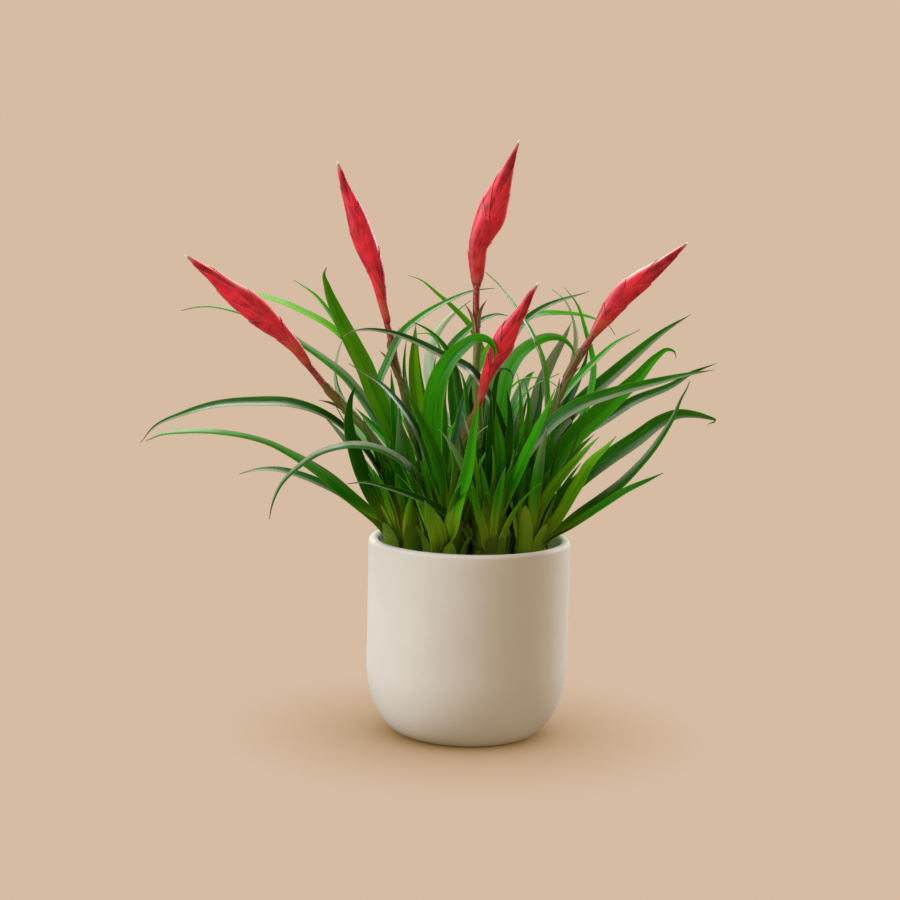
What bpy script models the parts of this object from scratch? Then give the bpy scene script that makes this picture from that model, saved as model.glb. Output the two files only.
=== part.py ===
"""Potted vriesea: a round cream pot, soil, six strap-leaved rosettes and five red flower spikes.

Metres, +Z up. The origin is the middle of the pot's flat base, and -Y is the front.
"""
import math
import random
from collections import namedtuple

import bmesh
import bpy
import numpy as np
from mathutils import Matrix, Vector
from mathutils.bvhtree import BVHTree

MM = 0.001
SLIT = 0.3 * MM                  # gap kept between neighbouring solids

# Pot, turned about +Z
POT_HEIGHT = 138 * MM
POT_RADIUS = 70 * MM
POT_WALL = 6.7 * MM
POT_FLOOR = 9 * MM
POT_FOOT_RADIUS = 40 * MM        # flat ring it stands on
POT_CORNER_HEIGHT = 50 * MM      # height of the round lower corner
POT_INNER_CORNER = 28 * MM       # width of the round inner corner
POT_LIP = 3 * MM
POT_SIDES = 40
SMOOTH_ANGLE = 35                # degrees between faces that still shade as one

# Soil, and the plain holes that the crowns stand in
SOIL_TOP = 121 * MM
SOIL_RISE = 2 * MM               # how far the soil's middle stands above its edge
SOIL_SHOULDER = 0.6              # where its slope steepens, over its radius
CROWN_RADIUS = 8.6 * MM          # in the soil
CROWN_BELLY = 12.2 * MM          # where the leaf bases swell above it
CROWN_NECK = 7.6 * MM
CROWN_FOOT = 104 * MM
CROWN_BELLY_HEIGHT = 131 * MM
CROWN_TOP = 152 * MM
CROWN_SHOULDER_RISE = 2 * MM     # how far its slope bulges between belly and neck
CROWN_SIDES = 12
HOLE_TOP = 129 * MM
SOCKET_RADIUS = 3.2 * MM
SOCKET_FOOT = 114 * MM

# Where each crown stands in the soil (x, y)
CROWNS = {
    "left": (-45, -14),
    "front": (-18, -35),
    "middle": (13, -25),
    "right": (40, -10),
    "back_left": (-20, 23),
    "back_right": (19, 24),
}

# Leaves. Each point (x, z) is where the leaf shows on the upright plane through the pot's axis,
# seen from EYE, in mm and from tip to root. A depth then slides the point along its line of sight,
# so a leaf can be bent clear of its neighbours and still draw the same outline.
EYE = (-15, -1710.3, 445.5)
LEAF_THICKNESS = 1.2
LEAF_TIP_THICKNESS = 0.65        # over the full thickness
LEAF_FOLD = 0.24                 # how far the margins stand above the midrib, over half the width
SHEATH_FOLD = 0.3                # how much more it folds at its root
SHEATH_SPREAD = 0.3              # how much wider a leaf is at its root
SHEATH_END = 0.2
TAPER_START = 0.5
TAPER_POWER = 1.8                # below this, a leaf narrows sooner towards its tip
ROOT_HEIGHT = 126
ROOT_RADIUS = 5.4
ROOT_AIM = 0.15                  # its root stands on the side where it lies by here along the leaf
ROOT_TURN_END = 0.3              # by here along the leaf it has turned from its sheath's heading
OPPOSED = -0.9                   # below this cosine, sheath and blade face opposite ways
RING_EVERY = 44                  # mm of leaf between its cross-sections
FEWEST_RINGS = 4
RING_CROWDING = 1.3              # above 1, cross-sections crowd towards the tip, where a leaf bends
BEND_END = 0.4                   # by here along the leaf a push in depth has its whole effect
TURN_START = 0.3                 # where a leaf that turns its face begins to do so
TURN_LENGTH = 0.35               # over how much of the leaf it turns

# wide is the blade's true width. shown is the width that meets the eye, below zero where that is
# the underside, or a pair for the root and the tip of a leaf that turns. deep is how far the tip
# lies behind its crown (before it, below zero).
Leaf = namedtuple("Leaf", "crown wide shown deep seen taper", defaults=[TAPER_POWER])

SEEN_LEAVES = [
    # Long arches to the left
    Leaf("left", 11, (2.8, 7.4), -35, [(-229, 199), (-220, 210), (-200, 219.8), (-180, 226.2),
                                (-150, 229.4), (-124, 228.8), (-110, 225), (-98, 219.3), (-84, 208.5), (-68, 190),
                                (-54, 165)]),
    Leaf("left", 11.5, (8.7, 3.4), -60, [(-225, 200.6), (-215, 204.8), (-200, 207), (-184, 207.7),
                                         (-168, 206.6), (-153, 204.1), (-140, 200.3), (-125.5, 193.3),
                                         (-97.5, 175.9), (-83, 164), (-69.3, 154), (-55, 143)], 3),
    Leaf("left", 10, (8, 5), -10, [(-160.5, 178.8), (-152, 181.3), (-142, 182.8), (-130, 182),
                                   (-118, 178.8), (-104, 173.6), (-90, 167.5), (-80, 160.8),
                                   (-65.6, 148.8)]),
    Leaf("front", 13, (4.8, 5.6), -45, [(-139.3, 147.5), (-137.3, 158), (-130.5, 173), (-117.5, 186),
                                        (-104.5, 194.8), (-92, 199), (-84, 200.3), (-63.5, 198),
                                        (-49.5, 191), (-36, 177), (-27, 160)]),
    Leaf("middle", 8, 4.4, -64, [(-85.5, 173.6), (-76.7, 174.8), (-55.8, 171), (-40, 166), (-23, 158.5),
                               (-10.8, 150.5), (-1.3, 141)]),
    Leaf("left", 12, 10.5, -36, [(-80.4, 243.6), (-83.6, 236), (-85.5, 225), (-85, 211), (-82.3, 201),
                                 (-79, 190.5), (-70.4, 170), (-59.5, 152)]),
    Leaf("left", 8, -5.5, -20, [(-103, 221), (-95.5, 213.3), (-87.5, 204), (-79, 190), (-66, 171),
                                (-54, 152)]),
    Leaf("back_left", 11, (8, 4.2), 62, [(-201.5, 291.2), (-195, 293), (-185, 294.4), (-175, 293.7),
                                           (-163, 290.9), (-131, 278.5), (-120, 270.8), (-110, 264.3),
                                           (-100, 257.3), (-90, 249.5), (-80, 238.5), (-70, 225),
                                           (-60, 211), (-47, 185)]),
    Leaf("back_left", 9, 4.1, 85, [(-174, 304.5), (-160, 305), (-150, 303.6), (-140, 301),
                                   (-130, 297.9), (-120, 293.5), (-110, 288.8), (-100, 283), (-85, 270),
                                   (-65, 243), (-48, 210)], 3.5),
    Leaf("back_left", 9, 5.6, 70, [(-124.5, 314), (-109.5, 303.8), (-98, 289.5), (-82, 263),
                                   (-64, 230), (-48, 196)]),
    Leaf("left", 14, 12.8, 12, [(-102.1, 323.5), (-104, 319.5), (-101.9, 310), (-93.7, 290),
                                (-83.2, 270), (-75.2, 255), (-70, 242), (-60, 221), (-48, 200),
                                (-43, 165)], 3.2),
    Leaf("back_left", 8, -4.5, 95, [(-88, 279), (-91.9, 270.5), (-95, 257), (-94.5, 242), (-87.5, 224),
                                    (-70, 198), (-48, 170)]),
    Leaf("left", 7, 3.5, 5, [(-95.5, 254), (-93.5, 243), (-88.5, 231), (-77, 215), (-62, 190),
                             (-50, 162)]),
    # Leaves between the left spike and the middle
    Leaf("front", 8.5, 5.5, -42, [(-86, 257.5), (-76, 251.5), (-66, 245.5), (-50, 229.5), (-38, 212),
                                (-29, 192), (-22, 168)]),
    Leaf("front", 10.5, 9.8, 30, [(-40.5, 286), (-41, 276), (-41.5, 262), (-40.5, 246), (-38, 230),
                                  (-33, 208), (-26, 180)], 3),
    Leaf("back_left", 6, 5, 25, [(-46.5, 277), (-47.5, 268), (-48, 255), (-46, 240), (-40, 215),
                                 (-32, 180)]),
    Leaf("back_left", 5, 3.8, 18, [(-38.8, 273), (-38, 262), (-36.8, 252), (-34.8, 240), (-31.5, 222),
                                   (-27, 180)]),
    Leaf("front", 6, 4.2, 26, [(-41, 278.5), (-36, 279.6), (-31, 279), (-27, 276), (-24, 270),
                               (-22, 255), (-20, 220)]),
    Leaf("back_left", 7, 4.5, 20, [(-26, 264), (-28.5, 250), (-31.5, 236), (-31, 222), (-28, 204),
                                   (-24, 180)]),
    Leaf("left", 9, 7.5, -12, [(-77, 201), (-70, 193), (-63, 184), (-56, 172), (-48, 154)]),
    Leaf("left", 7, 6, -30, [(-62.5, 184), (-60, 177), (-56, 167), (-50, 152)]),
    Leaf("left", 8, 6.5, -20, [(-71, 181), (-65, 172), (-57, 159), (-49, 146)]),
    Leaf("front", 7, 5.5, -8, [(-33.2, 184), (-32.8, 174), (-30.5, 163), (-26.5, 149)]),
    Leaf("front", 6, 3.5, -16, [(-28.3, 179), (-25, 171.5), (-21, 162), (-18.5, 150)]),
    Leaf("front", 5, 2.8, -29, [(-20.5, 211), (-17, 205.5), (-14.5, 199.5), (-12.6, 191),
                                (-12.8, 180), (-15, 162)]),
    Leaf("back_left", 11, 9, 8, [(-81, 227), (-72, 218), (-60, 206), (-50, 194), (-40, 176)]),
    Leaf("left", 9, 8, 14, [(-57, 254), (-56, 244), (-54.5, 228), (-52, 208), (-47, 182)]),
    Leaf("front", 14, 12.4, -27, [(-31.5, 163), (-28, 154), (-24, 144)]),
    Leaf("front", 10, 9, -38, [(-47, 240), (-38.5, 225), (-30.5, 208), (-24.5, 194), (-18.5, 176),
                               (-15.5, 160)]),
    Leaf("left", 10, 8.5, -34, [(-61, 201), (-51, 185), (-43, 166), (-38.5, 148)]),
    # Arches over the middle
    Leaf("right", 9, 6, -62, [(-90, 275.6), (-85.6, 279), (-78, 280.9), (-59.6, 279.9), (-39, 273.3),
                              (-21.5, 264.8), (-2, 255), (9, 240), (22, 210), (33, 170)]),
    Leaf("left", 8.5, (3.2, 6.2), 60, [(13, 311.7), (0, 309.9), (-21.8, 300.6), (-38.6, 289.9),
                                       (-50, 279.3), (-55.3, 269), (-59.7, 258), (-64, 247),
                                       (-64, 230), (-54, 190)]),
    Leaf("middle", 8, 6, 34, [(-46, 288), (-40, 286), (-33, 282.5), (-26, 277), (-20, 270), (-14, 258),
                              (-10, 240), (-4, 208), (5, 170)]),
    Leaf("back_right", 7, 5.5, 60, [(-46.4, 319), (-39.6, 317), (-25.5, 306.5), (-14.7, 297.3),
                                    (-4.4, 286.8), (6, 266), (12, 235), (15, 190)]),
    Leaf("back_right", 12, -10.5, 85, [(-3, 303), (-13, 295.5), (-22, 286), (-29, 274), (-31, 258),
                                    (-24, 230), (-8, 190)]),
    Leaf("back_left", 9, (5, 6.6), 20, [(22.5, 293), (15.5, 293.8), (7.7, 291.3), (-6, 281.4), (-16, 270),
                                 (-22, 250), (-25, 215), (-24, 175)], 3.5),
    Leaf("front", 15.5, 14.4, -24, [(13, 260), (14, 270), (9, 276.1), (1, 276.8), (-7, 271.5),
                                    (-14.8, 264), (-22.4, 251.5), (-27, 232), (-27.5, 205), (-23, 170)]),
    Leaf("middle", 13.2, 12.2, -6, [(69.5, 263.5), (67, 272), (60, 278), (51.8, 279), (42.3, 275.6),
                                     (32, 267.8), (23.8, 254.5), (19.5, 235), (18, 205), (16, 165)]),
    Leaf("back_right", 10, -9.5, 60, [(66.3, 290), (61.3, 278), (53.3, 262), (46.8, 246), (41, 222),
                                      (30, 185)], 3),
    Leaf("back_right", 8, -4, 75, [(52.5, 311.5), (58.5, 307.3), (64, 301), (67.4, 293), (70, 279),
                                     (67.8, 260), (59.5, 232), (42, 190)], 2.6),
    Leaf("middle", 10, 7.8, 48, [(77.5, 311), (70, 308.3), (63.5, 306.3), (46, 298.8), (34, 289.5),
                                (22, 270), (14, 238), (11, 190)]),
    Leaf("back_left", 9, 5.5, 45, [(96.5, 281.3), (92.3, 287.5), (81, 292.7), (60, 295.7), (42.5, 294.2),
                                   (20, 280.7), (0, 250), (-12, 200)]),
    Leaf("right", 7, 3.5, -20, [(6.5, 322.5), (17, 313), (27.3, 299.8), (38.5, 282.5), (47.5, 261.5),
                                (51, 235), (48, 190)]),
    Leaf("right", 7, 5, 62, [(60.5, 313.5), (69.7, 302.2), (76, 285), (82.6, 258.6), (79.5, 235),
                             (60, 190)]),
    Leaf("middle", 4, 2, 12, [(59, 254), (54, 251.5), (44, 246.5), (35, 238), (27, 222), (20, 190)]),
    Leaf("back_right", 5, 2, 10, [(57.5, 245), (52, 248.8), (44, 250.6), (34, 249.5), (25, 242),
                                  (20, 220), (19, 180)]),
    Leaf("front", 10, 8.5, -34, [(4, 236), (3, 226), (1, 212), (-0.5, 198), (-2, 186), (-8, 164)]),
    Leaf("middle", 5, 3, -38, [(10.7, 216.5), (7, 213.5), (3.5, 209.5), (2, 200), (5, 175),
                               (9, 150)]),
    Leaf("back_right", 10, 8.5, 30, [(-9, 277), (-13, 262), (-15, 245), (-12, 222), (-4, 190)]),
    Leaf("back_left", 6, 4, 12, [(-16, 256), (-18.5, 244), (-19.5, 235), (-18.5, 222), (-18, 190)]),
    Leaf("front", 9, 8, 34, [(3, 259), (-3, 244), (-7, 228), (-9.5, 208), (-12, 180)]),
    Leaf("back_left", 11, 10, -12, [(3, 187), (0.5, 170), (-6, 152)]),
    Leaf("back_left", 13, 11, -24, [(9, 151), (2, 146.5), (-6, 141), (-12, 136)]),
    Leaf("back_right", 13, 11, -20, [(-5, 147), (4, 143.5), (11, 138)]),
    Leaf("front", 13, 11, 16, [(3, 146), (-2, 139), (-8, 133)]),
    Leaf("front", 12, 10, -6, [(-4, 160), (-7, 148), (-11, 139)]),
    Leaf("right", 12, 10, 16, [(64, 152), (58, 145), (51, 138)]),
    # Upright blades of the middle and right
    Leaf("middle", 5, 3.4, -18, [(14, 202.5), (15, 196), (15.8, 187), (15.4, 176), (14, 158)]),
    Leaf("middle", 6, 4.2, -30, [(5.5, 193), (7.5, 185), (9.5, 176), (12, 162)]),
    Leaf("middle", 7, 5.5, -44, [(0.8, 174), (3, 165), (5, 156), (9, 145)]),
    Leaf("middle", 9, 8, -10, [(37, 222), (33, 211), (28, 197), (22, 180), (16, 160)]),
    Leaf("middle", 10, 7.6, -32, [(56.5, 243.5), (50, 226), (42, 207), (34, 188), (25, 168), (18, 150)]),
    Leaf("middle", 9, 7, -16, [(13, 237), (15.5, 222), (18.5, 208), (20.5, 192), (18, 168)]),
    Leaf("middle", 9, 8, -12, [(23, 243), (26, 225), (26, 206), (23.5, 186), (19, 165)]),
    Leaf("middle", 8, 6, -20, [(27.3, 247), (26.6, 252.5), (23, 256), (19.3, 256), (16.5, 250),
                               (14.8, 240), (13.5, 220), (13, 190)]),
    Leaf("middle", 7, 5.5, 6, [(-12, 258), (-8.5, 252), (-6, 244), (-4, 228), (2, 200)]),
    Leaf("back_right", 9, 8, 14, [(-2, 252), (-1.5, 238), (0, 222), (5, 200), (10, 170)]),
    Leaf("back_right", 9, 8, 8, [(7, 246), (8, 230), (9.2, 212), (12.4, 185)]),
    Leaf("back_right", 9, 8, 12, [(46, 250), (46.5, 236), (44, 220), (36, 190)]),
    Leaf("right", 6, 4.4, -16, [(29.7, 253.5), (31.6, 246), (32.8, 235), (33.4, 218), (34, 198),
                                (36, 170)]),
    Leaf("right", 8, 6.4, -8, [(35.7, 247.5), (37.6, 240), (38.8, 230), (38.3, 214), (36.6, 196),
                                 (37, 170)]),
    Leaf("right", 4, 2.8, -30, [(29, 163), (30.3, 155), (32, 144)]),
    Leaf("right", 5, 3, 15, [(53.2, 192.5), (54, 186), (53.5, 178), (50.5, 166), (46, 150)]),
    Leaf("right", 9, 7.5, -22, [(87.8, 210.8), (81.8, 204.6), (68, 188.8), (58, 176), (50, 162),
                                (44, 146)]),
    Leaf("right", 10, 8.2, -42, [(99.6, 211.5), (92.9, 203.4), (85.4, 195.7), (80.4, 189.4),
                                 (76.2, 180.6), (70.5, 170.8), (65, 160), (58.5, 149), (52, 141)]),
    # Fan to the right
    Leaf("back_right", 11.5, 10.6, 48, [(148, 297), (128, 283.6), (108, 266), (91, 250.2), (77, 237.3),
                                    (58, 215), (38, 180)]),
    Leaf("middle", 9, 6.3, 34, [(113.5, 285.6), (97.8, 276.8), (82, 262), (68, 246.8), (54, 228.7),
                                (40, 207), (25, 175)]),
    Leaf("right", 14.4, 13.8, 22, [(139, 266.3), (137.2, 271.2), (132.5, 272.3), (126.5, 268),
                                   (113.3, 252.8), (93, 232.5), (72.5, 212.5), (56, 190), (46, 160)]),
    Leaf("right", 10, 8.1, 42, [(167, 263.6), (158, 260), (150, 256.5), (138, 248.4), (110, 235.6),
                                (92.7, 224),
                                (72, 210.5), (56, 196), (46, 172)]),
    Leaf("middle", 10, 8.5, -25, [(165.5, 259), (149, 255.8), (126, 250), (95, 241), (74, 233),
                                (60.5, 224.5), (45, 208), (27, 176)]),
    Leaf("right", 12, (10.3, 11.6), -25, [(162, 221), (167.9, 223.7), (160.5, 226.3), (152, 227.8),
                                  (141, 227.6), (131, 223.2), (113.6, 209.8), (93, 194.6),
                                  (75.7, 179.6), (58, 161.5), (48, 146)]),
    Leaf("right", 12, (8.6, 4.6), -58, [(148.7, 250.7), (147.3, 246.2), (144.1, 239.7), (138.8, 225.7),
                                        (131.8, 212.6), (123.3, 199.6), (114.3, 188.5), (103.3, 177),
                                        (90.4, 165.8), (69, 149.8), (56.3, 140.5)]),
    Leaf("right", 7, 4.2, -50, [(133, 186.6), (125, 182.3), (107.6, 173.5), (90, 161.5), (72, 148.8),
                                (57, 138.6)], 3),
    Leaf("back_right", 11, 9, 24, [(72, 236), (68, 222), (60, 206), (50, 188), (36, 160)]),
    Leaf("back_right", 10, 9.4, 30, [(78.6, 274), (76.4, 262), (71.6, 249), (63.5, 232), (50, 205)]),
    Leaf("back_right", 10, 8.5, 36, [(98, 244), (90, 235), (80, 224), (66, 209), (48, 184)]),
    Leaf("right", 9, 8, 10, [(84, 212), (76.5, 204.6), (66.5, 195), (56, 184), (46, 166)]),
]

# Leaves of the back and the inside, spread round their crowns by a rule: how many, the middle
# heading and the spread to each side, the lengths of those at the sides and in the middle (mm),
# and the range of their heading above the horizon at the tip. All angles are in degrees.
FillLeaves = namedtuple("FillLeaves", "crown count middle spread lengths droop")

FILL_LEAVES = [
    FillLeaves("back_left", 5, 100, 55, (95, 160), (-45, 15)),
    FillLeaves("back_right", 5, 80, 55, (95, 160), (-45, 15)),
    FillLeaves("back_left", 3, 270, 120, (75, 95), (45, 70)),
    FillLeaves("back_right", 3, 270, 120, (75, 95), (45, 70)),
    FillLeaves("left", 3, 60, 90, (70, 100), (35, 65)),
    FillLeaves("front", 2, 30, 90, (50, 75), (45, 70)),
    FillLeaves("middle", 3, 100, 120, (60, 90), (45, 70)),
    FillLeaves("right", 3, 120, 90, (70, 100), (35, 65)),
]
FILL_WIDE = (8, 12)
FILL_RISE = (70, 84)             # heading above the horizon at the root
FILL_STRAY = 8                   # how far a heading strays from the even spread
FILL_STRETCH = (0.9, 1.1)
FILL_BEND = 1.3                  # above 1, a leaf bends most towards its tip
FILL_STEPS = 40
FILL_SEED = 11

# Pushes in depth (mm) tried on a seen leaf, and turns (degrees) tried on a fill leaf, until it
# clears the rest
PUSHES = (0, 7, -7, 14, -14, 21, -21, 28, -28, 36, -36, 45, -45, 55, -55, 66, -66)
TURNS = (0, 9, -9, 18, -18, 27, -27, 36, -36)
CLEARANCE = 0.7                  # added to a blade's width and thickness while it is tested

# Flower spikes: the stem's points as seen, from crown to head, then the head's points with its
# width, from base to tip. deep is how far the head's tip lies behind its crown.
Spike = namedtuple("Spike", "crown deep stem head")

SPIKES = [
    Spike("left", -18,
          [(-46, 172), (-55, 189), (-66, 203), (-78, 217), (-90, 229), (-100, 239), (-109, 250)],
          [(-112.5, 254, 5.2), (-122.5, 267.5, 8), (-131, 276, 10.4), (-141.2, 284.8, 15.2),
           (-150.5, 292.8, 17.5), (-160, 300, 17), (-170, 307.2, 13), (-180, 315.5, 9),
           (-191.6, 323.8, 4.5), (-199.5, 329.7, 1)]),
    Spike("back_left", 20,
          [(-26, 172), (-37, 197), (-43.5, 218), (-48.5, 240), (-55, 262), (-58.5, 280)],
          [(-59.7, 284, 5), (-61, 290, 5.5), (-63.7, 300, 6), (-65.8, 310, 7.8), (-68, 320, 10.8),
           (-72, 330, 14), (-76, 340, 15.5), (-81.7, 355, 14.3), (-85.3, 365, 11.3), (-89.3, 375, 8),
           (-93, 385, 5), (-96.2, 396, 1)]),
    Spike("back_right", 28,
          [(14, 175), (8, 197), (4, 222), (1.7, 250), (1.5, 280), (0.5, 300)],
          [(0.6, 312, 6), (0.8, 320, 9), (0.6, 330, 11.6), (0.7, 340, 13.2), (4.5, 350, 17.8),
           (8.9, 360, 20.6), (11.9, 370, 18.5), (15.6, 380, 14.4), (19, 390, 9.8), (22.5, 400, 5.2),
           (27.3, 412.6, 1)]),
    Spike("front", -26,
          [(-13.6, 171), (-10.6, 188), (-7.5, 202), (-3.5, 213), (0.7, 222.5)],
          [(3, 229, 4.5), (6.4, 240, 5.5), (8.7, 250, 7.5), (13, 260, 10.8), (17.9, 270, 15),
           (22.3, 280, 14.3), (27.7, 290, 9.8), (33.9, 300, 6.8), (39, 310, 3.4), (43, 316, 1)]),
    Spike("right", 20,
          [(43, 178), (48, 200), (54, 222), (60, 240), (66, 255), (71, 264), (75.5, 272)],
          [(80, 278.8, 5), (84.8, 286.3, 7.8), (89.8, 293.6, 11.2), (95.6, 302.5, 14),
           (103.2, 311.2, 15.4), (112.5, 319.2, 14.2), (121.6, 326.3, 10.8), (132.7, 335.8, 6.4),
           (144.3, 346, 1)]),
]
STEM_RADIUS = 2.7
STEM_TOP_RADIUS = 2.3
STEM_STRAIGHT = 2 * MM           # how far above its crown a stem starts to bend
STEM_SIDES = 6
STEM_RINGS = 9
SPIKE_BEND = 1.2                 # above 1, a spike leaves its crown's depth late
STEM_BRACTS = (0.5, 0.64, 0.78, 0.9)   # where along the stem each bract sits
STEM_BRACT_END = 0.97
STEM_BRACT_FACING = (-0.5, -0.15, 0.2) # how far to the back each one points, in turn
BRACT_LENGTH = 19
STEM_BRACT_LIFT = (2.2, 3.8, 4.3, 5.6) # its keel's distance from the stem's middle, root to tip
STEM_BRACT_SPAN = (3, 6, 4.6, 0.8)
STEM_BRACT_DEPTH = (1.5, 2.2, 2, 0.8)
HEAD_RINGS = 8
HEAD_SIDES = 6
HEAD_CORE = 0.78                 # width of the core over the head's
HEAD_FLATNESS = 0.6              # thickness of the head over its width
HEAD_BRACTS = 7
HEAD_BRACT_START = 0.01
HEAD_BRACT_REACH = 0.3           # length of a bract over the head's
BRACT_OUTLINE = (0.6, 0.95, 1.02, 1.0, 1.0)   # its keel's distance from the middle, over half the width
BRACT_SPAN = (0.9, 1.15, 1.15, 0.8, 0.2)      # its breadth over the head's thickness
BRACT_DEPTH = (0.3, 0.42, 0.42, 0.3, 0.1)     # how far its edges lie behind its keel, over the width
THINNEST = 0.8                   # mm
SPIKE_GAP = 0.35                 # mm between a stem's top and its head
CURVE_SAMPLES = 200

# Colours (linear) and roughness
FINISHES = {
    "ceramic": ((0.68, 0.62, 0.54), 0.75),
    "soil": ((0.025, 0.018, 0.012), 0.95),
    "leaf": ((0.05, 0.22, 0.02), 0.4),
    "stem": ((0.25, 0.09, 0.05), 0.5),
    "bract": ((0.52, 0.02, 0.03), 0.4),
}


def clear_scene():
    for thing in list(bpy.data.objects):
        bpy.data.objects.remove(thing, do_unlink=True)


def make_collection(name):
    collection = bpy.data.collections.new(name)
    bpy.context.scene.collection.children.link(collection)
    return collection


def make_material(name):
    colour, roughness = FINISHES[name]
    material = bpy.data.materials.new(name)
    material.use_nodes = True
    shader = material.node_tree.nodes["Principled BSDF"]
    shader.inputs["Base Color"].default_value = (*colour, 1)
    shader.inputs["Roughness"].default_value = roughness
    material.diffuse_color = (*colour, 1)
    return material


def mesh_object(name, points, faces, collection, edges=()):
    mesh = bpy.data.meshes.new(name)
    mesh.from_pydata([tuple(point) for point in points], list(edges), faces)
    thing = bpy.data.objects.new(name, mesh)
    collection.objects.link(thing)
    return thing


def evaluated_mesh(thing):
    bpy.context.view_layer.update()
    graph = bpy.context.evaluated_depsgraph_get()
    return bpy.data.meshes.new_from_object(thing.evaluated_get(graph))


def bake(thing):
    """Keeps what the object's modifiers make of it as its own mesh."""
    mesh = evaluated_mesh(thing)
    thing.modifiers.clear()
    thing.data = mesh


def tree_of(thing):
    mesh = thing.data
    mesh.calc_loop_triangles()
    points = [thing.matrix_world @ vertex.co for vertex in mesh.vertices]
    return BVHTree.FromPolygons(points, [tuple(t.vertices) for t in mesh.loop_triangles])


def turned(name, profile, sides, collection):
    """A line of (radius, height) that starts and ends on the axis, turned about +Z and kept."""
    edges = [(i, i + 1) for i in range(len(profile) - 1)]
    thing = mesh_object(name, [(radius, 0, height) for radius, height in profile], [], collection, edges)
    screw = thing.modifiers.new("turn", "SCREW")
    screw.steps = sides
    screw.render_steps = sides
    screw.use_merge_vertices = True
    screw.merge_threshold = MM / 100
    bake(thing)
    return thing


def arc(centre, radii, start, end, count):
    """Points (radius, height) along part of an ellipse, angles in degrees."""
    points = []
    for i in range(count + 1):
        angle = math.radians(start + (end - start) * i / count)
        points.append((centre[0] + radii[0] * math.cos(angle), centre[1] + radii[1] * math.sin(angle)))
    return points


def inner_profile():
    """The hollow's side, from the edge of its floor to where the lip begins."""
    radius = POT_RADIUS - POT_WALL
    return arc((radius - POT_INNER_CORNER, POT_CORNER_HEIGHT),
               (POT_INNER_CORNER, POT_CORNER_HEIGHT - POT_FLOOR), -90, 0, 3)


def build_pot(collection):
    lip_height = POT_HEIGHT - POT_LIP
    lip = (POT_LIP, POT_LIP)
    lip_inner = arc((POT_RADIUS - POT_WALL + POT_LIP, lip_height), lip, 180, 90, 2)
    lip_outer = arc((POT_RADIUS - POT_LIP, lip_height), lip, 90, 0, 3)
    corner = (POT_RADIUS - POT_FOOT_RADIUS, POT_CORNER_HEIGHT)
    outer = arc((POT_FOOT_RADIUS, POT_CORNER_HEIGHT), corner, 0, -90, 6)
    profile = [(0, POT_FLOOR)] + inner_profile() + lip_inner + lip_outer + outer + [(0, 0)]
    return turned("pot", profile, POT_SIDES, collection)


def build_soil(collection, cutters):
    radius = POT_RADIUS - POT_WALL - SLIT
    side = [(r - SLIT, max(height, POT_FLOOR + SLIT)) for r, height in reversed(inner_profile())]
    top = [(0, SOIL_TOP + SOIL_RISE), (radius * SOIL_SHOULDER, SOIL_TOP + SOIL_RISE * SOIL_SHOULDER),
           (radius, SOIL_TOP)]
    thing = turned("soil", top + side + [(0, POT_FLOOR + SLIT)], POT_SIDES, collection)
    foot = CROWN_FOOT - SLIT
    for name, (x, y) in CROWNS.items():
        bpy.ops.mesh.primitive_cylinder_add(
            vertices=CROWN_SIDES, radius=CROWN_RADIUS + 2 * SLIT, depth=HOLE_TOP - foot,
            location=(x * MM, y * MM, (HOLE_TOP + foot) / 2))
        hole = bpy.context.object
        hole.name = "hole_" + name
        hole.hide_render = True
        hole.display_type = "WIRE"
        for owner in list(hole.users_collection):
            owner.objects.unlink(hole)
        cutters.objects.link(hole)
    cut = thing.modifiers.new("holes", "BOOLEAN")
    cut.operation = "DIFFERENCE"
    cut.operand_type = "COLLECTION"
    cut.collection = cutters
    cut.solver = "EXACT"
    bake(thing)
    return thing


def smooth_step(value):
    value = min(1.0, max(0.0, value))
    return value * value * (3 - 2 * value)


def along(points, fractions):
    """Places at fractions of the length of one smooth curve through the points."""
    points = np.asarray(points, float)
    run = np.concatenate([[0], np.cumsum(np.linalg.norm(np.diff(points, axis=0), axis=1))])
    slopes = np.gradient(points, run, axis=0)

    def curve(at):
        i = np.clip(np.searchsorted(run, at, side="right") - 1, 0, len(run) - 2)
        step = (run[i + 1] - run[i])[:, None]
        t = (at - run[i])[:, None] / step
        return ((2 * t**3 - 3 * t**2 + 1) * points[i] + (t**3 - 2 * t**2 + t) * step * slopes[i]
                + (3 * t**2 - 2 * t**3) * points[i + 1] + (t**3 - t**2) * step * slopes[i + 1])

    dense_at = np.linspace(0, run[-1], CURVE_SAMPLES)
    dense = curve(dense_at)
    true_run = np.concatenate([[0], np.cumsum(np.linalg.norm(np.diff(dense, axis=0), axis=1))])
    return curve(np.interp(np.asarray(fractions) * true_run[-1], true_run, dense_at))


def true_place(seen_x, seen_z, depth):
    """The point at this depth that shows at (seen_x, seen_z) on the plane y = 0."""
    share = (depth - EYE[1]) / -EYE[1]
    return Vector((EYE[0] + (seen_x - EYE[0]) * share, depth, EYE[2] + (seen_z - EYE[2]) * share))


def seen_place(point):
    share = -EYE[1] / (point[1] - EYE[1])
    return EYE[0] + (point[0] - EYE[0]) * share, EYE[2] + (point[2] - EYE[2]) * share


def unit(vector):
    return vector.normalized()


def square_to(vector, axis):
    """The part of vector that is square to axis, at length 1."""
    return unit(vector - axis * vector.dot(axis))


def headings(path):
    last = len(path) - 1
    return [unit(path[min(i + 1, last)] - path[max(i - 1, 0)]) for i in range(len(path))]


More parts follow.
